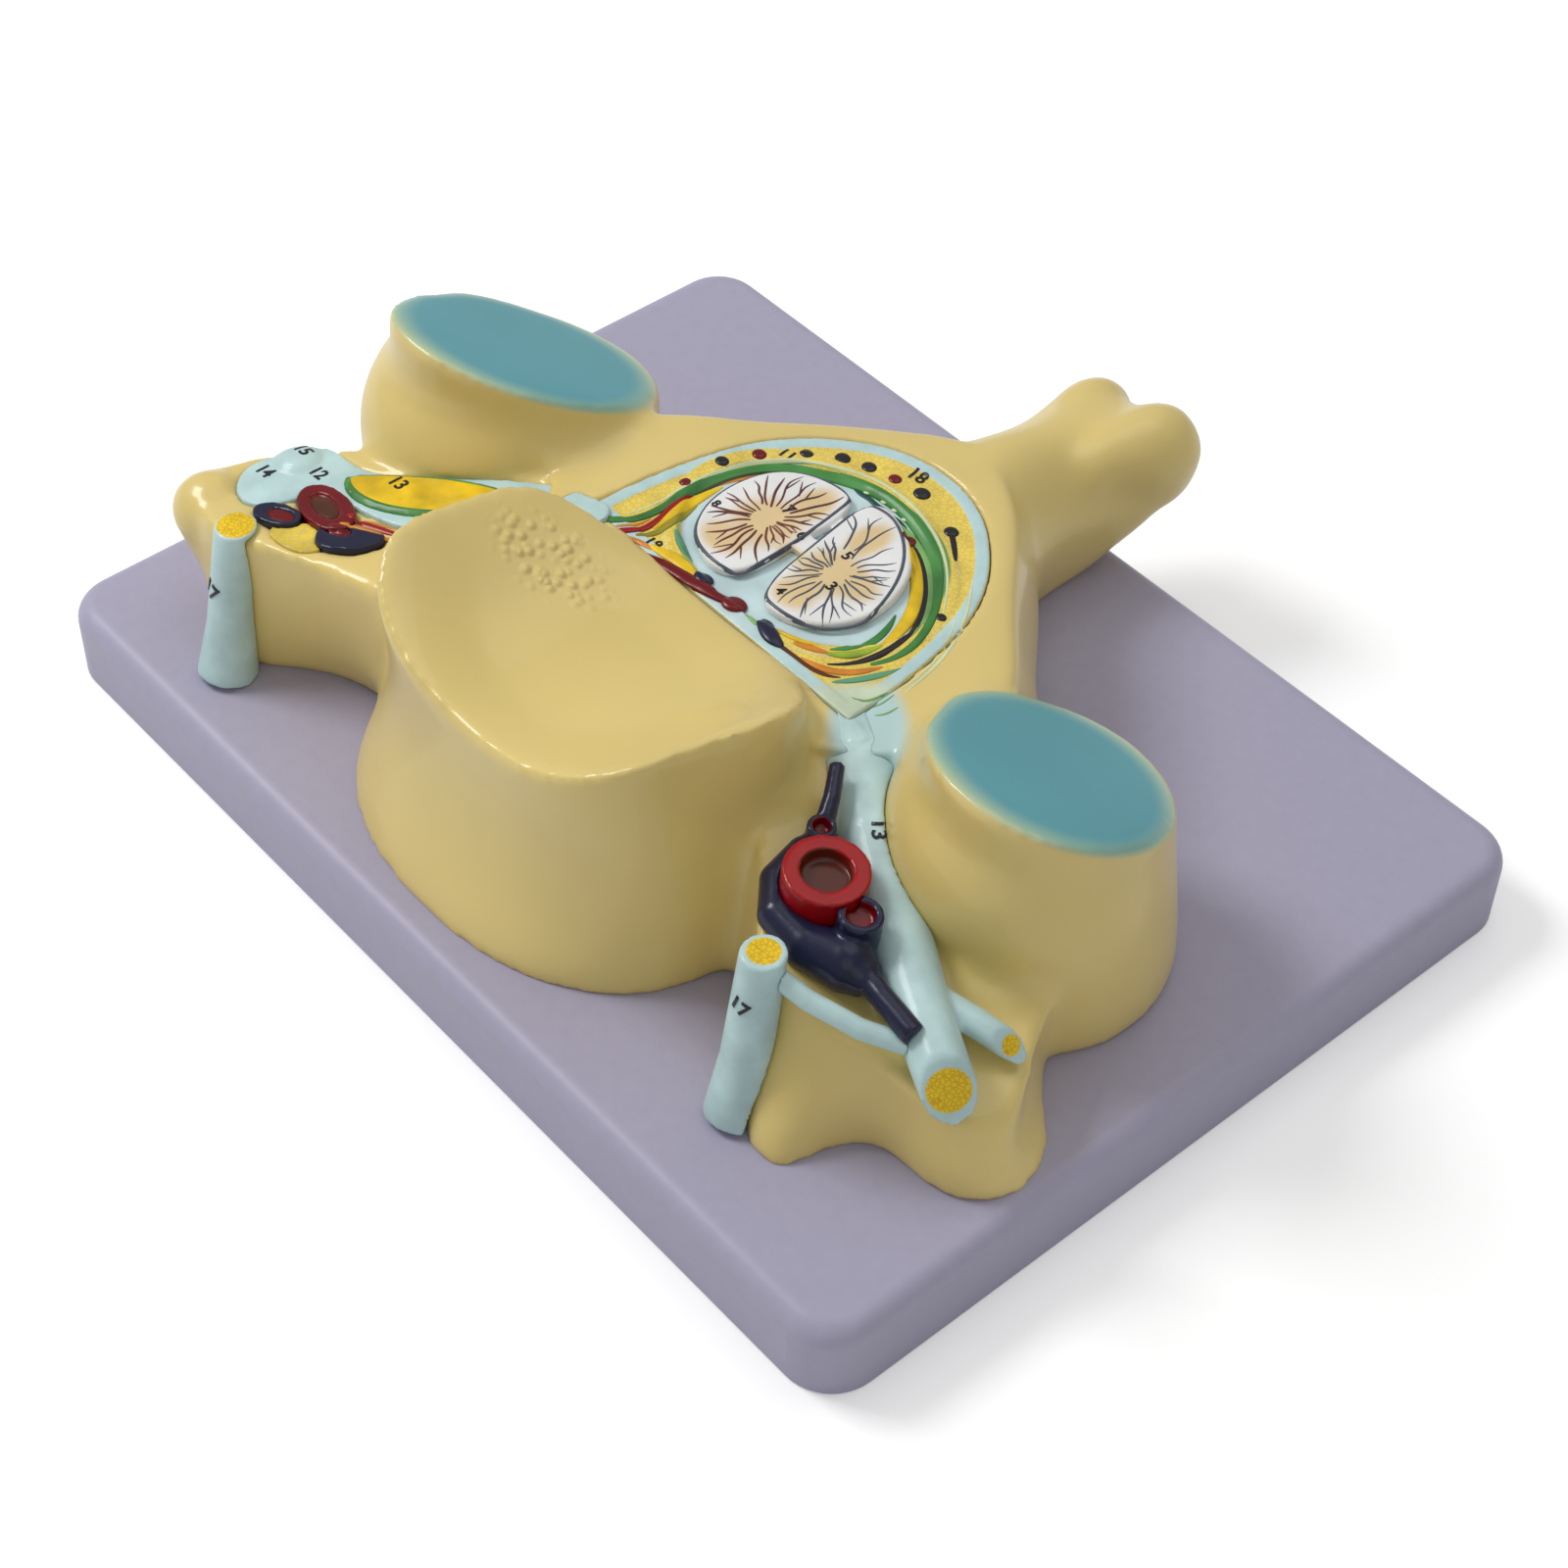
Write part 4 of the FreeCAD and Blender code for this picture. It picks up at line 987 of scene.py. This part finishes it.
class Studio:
    """Camera, floor and lamps."""
    # The photograph's camera, worked out from the base plate's perspective: place in millimetres.
    CAMERA = (476.60, -416.38 + BASE_SHIFT_Y, 663.40)
    CAMERA_RIGHT = (0.65122428, 0.75871159, 0.01623763)
    CAMERA_UP = (-0.55758564, 0.46385856, 0.68842827)
    LENS, SENSOR = 71.44, 36.0
    FLOOR_GREY, FLOOR_GLOW = 0.88, 0.26
    # Light of the pale surround on the model, and its brightness for the camera.
    SKY_LIGHT, SKY_SEEN = 0.4, 1.0
    # Name, place in metres, size in metres and power in watts. All lamps face the model's middle.
    LAMPS = (("key", (-1.0, -0.5, 1.35), 0.6, 16.0), ("fill", (1.2, -0.9, 1.3), 1.2, 2.5),
             ("top", (0.0, 0.6, 1.8), 1.4, 6.0))
    MODEL_MIDDLE = (0, 0, 0.05)

    def build(self) -> None:
        """Sets the stage."""
        self._camera()
        self._floor()
        self._surround()
        self._lamps()
        bpy.context.scene.view_settings.view_transform = "Standard"

    def _camera(self) -> None:
        """Camera at the photograph's place."""
        lens = bpy.data.cameras.new("camera")
        lens.sensor_width = self.SENSOR
        lens.lens = self.LENS
        camera = bpy.data.objects.new("camera", lens)
        bpy.context.scene.collection.objects.link(camera)
        right, upward = Vector(self.CAMERA_RIGHT), Vector(self.CAMERA_UP)
        turn = Matrix((right, upward, right.cross(upward))).transposed().to_4x4()
        camera.matrix_world = Matrix.Translation(Vector(self.CAMERA) * MM) @ turn
        bpy.context.scene.camera = camera

    def _floor(self) -> None:
        """Pale floor that looks white to the camera where no shadow falls."""
        bpy.ops.mesh.primitive_plane_add(size=6.0, location=(0, 0, -0.0005))
        floor = newest()
        floor.name = "studio_floor"
        material = bpy.data.materials.new("studio_floor")
        material.use_nodes = True
        tree = material.node_tree
        seen = add(tree, "LightPath", {}).outputs["Is Camera Ray"]
        glow = add(tree, "Math", {0: seen, 1: self.FLOOR_GLOW}, operation="MULTIPLY")
        shade(tree, {"Base Color": (self.FLOOR_GREY,) * 3, "Roughness": 0.8, "Emission Color": (1, 1, 1),
                     "Emission Strength": glow.outputs[0]})
        floor.data.materials.append(material)

    def _surround(self) -> None:
        """Pale world that lights the model softly and looks white to the camera."""
        world = bpy.data.worlds.new("studio")
        bpy.context.scene.world = world
        world.use_nodes = True
        tree = world.node_tree
        seen = add(tree, "LightPath", {}).outputs["Is Camera Ray"]
        level = add(tree, "MapRange", {"Value": seen, "To Min": self.SKY_LIGHT, "To Max": self.SKY_SEEN})
        sky = tree.nodes["Background"].inputs
        feed(tree, sky["Color"], (1, 1, 1))
        feed(tree, sky["Strength"], level.outputs["Result"])

    def _lamps(self) -> None:
        """Large soft lamps."""
        for name, place, size, power in self.LAMPS:
            lamp = bpy.data.lights.new(name, "AREA")
            lamp.shape = "SQUARE"
            lamp.size = size
            lamp.energy = power
            item = bpy.data.objects.new(name, lamp)
            aim = (Vector(self.MODEL_MIDDLE) - Vector(place)).to_track_quat("-Z", "Y")
            item.matrix_world = Matrix.Translation(place) @ aim.to_matrix().to_4x4()
            bpy.context.scene.collection.objects.link(item)


def cut_end(x: float, y: float, height: float, radius: float) -> Spot:
    """Yellow grained end of a nerve, by its middle, its height over the plate and its radius."""
    return Spot(srgb(234, 200, 34), (x, y, PLATE_TOP + height), (radius, radius, radius), core=0.9,
                net=srgb(206, 158, 20), grain=1.3)


def lumen(paint: Paint, x: float, y: float, radius: float) -> Spot:
    """Dark inside of a cut vessel that stands upright."""
    return Spot(paint.colour, (x, y + BASE_SHIFT_Y, SECTION_TOP), (radius, radius, 99), core=0.9)


def canal_spots() -> list[Spot]:
    """Green dura ridge, yellow fat band and pale fluid space on the pale rim, told apart by their levels."""
    fat = srgb(228, 204, 92)
    fat_net = srgb(212, 180, 84)
    fluid = srgb(190, 212, 214)
    x, y = CORD_MIDDLE
    left, front = CANAL_SHIFT
    return [
        Spot(fat, (x + 1.0, y, SECTION_TOP), (47.8, 36.4, 99), core=0.98, net=fat_net, grain=1.6),
        Spot(srgb(150, 168, 96), (x + 0.5, y - 0.5, SECTION_TOP), (42.5, 33.0, 99), core=0.98),
        Spot(srgb(84, 140, 76), (x + 9.5, y + 2.5, SECTION_TOP), (33.0, 31.0, 99), core=0.97),
        Spot(fluid, (left, front - 13.0, SECTION_TOP), (17, 5, 99), 4.0, core=0.8),
        Spot(fat, (0, 0, SECTION_TOP - 0.72), (999, 999, 0.42), core=0.85, net=fat_net, grain=1.6),
        Spot(fluid, (0, 0, SECTION_TOP - 2.2), (999, 999, 1.25), core=0.9),
        Spot(srgb(196, 210, 184), (56.0, -30.0, SECTION_TOP), (17, 27, 99), -32.0, core=0.62),
    ]


def cord_spots() -> list[Spot]:
    """Soft tan grey matter in each half of the cord."""
    x, y = CANAL_SHIFT
    areas = ((-20, 16, 14, 14, 0), (-17, 31, 7, 11, 8), (-23, 3, 10, 8, 0), (7, 16, 13, 13, 0),
             (4, 33, 7, 11, 4), (15, 18, 10, 8, 0), (7, 3, 9, 8, 0), (-6, 13, 6, 4.5, 0))
    return [Spot(srgb(220, 194, 146), (x + across, y + along, SECTION_TOP), (wide, deep, 99), turn, core=0.45)
            for across, along, wide, deep, turn in areas]


def small_castings() -> list[Casting]:
    """The castings set into the bone or standing beside it."""
    fat = Spot(srgb(222, 194, 60), (-104, -98, SECTION_TOP), (99, 99, 99), net=srgb(206, 182, 104), grain=2.0)
    return [
        Casting("canal_section", "canal_casting", Slot.CANAL, PALE_BLUE, 0.7, 5, canal_spots()),
        Casting("spinal_cord", "cord_casting", Slot.CORD, CORD_WHITE, 0.5, 4, cord_spots()),
        Casting("nerve_section_left", "sheath_left", Slot.NERVE, PALE_BLUE, 0.6, 4),
        Casting("ganglion_left", "ganglion_left_dome", Slot.YELLOW, YELLOW, 0.5, 8),
        Casting("vertebral_artery_left", "artery_left_dome", Slot.ARTERY, DARK_RED, 0.4, 8),
        Casting("vertebral_veins_left", "veins_left_dome", Slot.VEIN, NAVY, 0.4, 8),
        Casting("fat_patch_left", "fat_left", Slot.YELLOW, FAT_YELLOW, 0.4, 4, [fat]),
        Casting("sympathetic_trunk_left", "trunk_left", Slot.NERVE, PALE_BLUE, 0.7, 8,
                [cut_end(-116.5, -109.5, 50, 5.8)]),
        Casting("sympathetic_trunk_right", "trunk_right", Slot.NERVE, PALE_BLUE, 0.7, 8,
                [cut_end(101, -99, 53, 4.7)]),
        Casting("spinal_nerve_right", "nerve_right", Slot.NERVE, PALE_BLUE, 0.8, 10,
                [cut_end(151.5, -82.1, 33.3, 6.2), cut_end(150, -59.6, 31.4, 3.0)]),
        Casting("vertebral_artery_right", "artery_right", Slot.ARTERY, RED, 0.5, 5,
                [lumen(LUMEN, 92.4, -60.2, 7.2)]),
        Casting("vertebral_veins_right", "veins_right", Slot.VEIN, NAVY, 0.6, 8,
                [lumen(DARK_RED, 107.4, -61.8, 4.2), lumen(DARK_RED, 80.0, -50.9, 2.7)]),
        Casting("communicating_branch_right", "branch_right", Slot.NERVE, PALE_BLUE, 0.5, 8),
    ]


def main() -> None:
    """Builds every piece in order."""
    shop = PaintShop()
    dress_base(shop)
    bone = Bone().build(shop)
    made = {casting.node: casting.build(shop) for casting in small_castings()}
    paint_details(shop, bone, made)
    Studio().build()


if __name__ == "__main__":
    main()
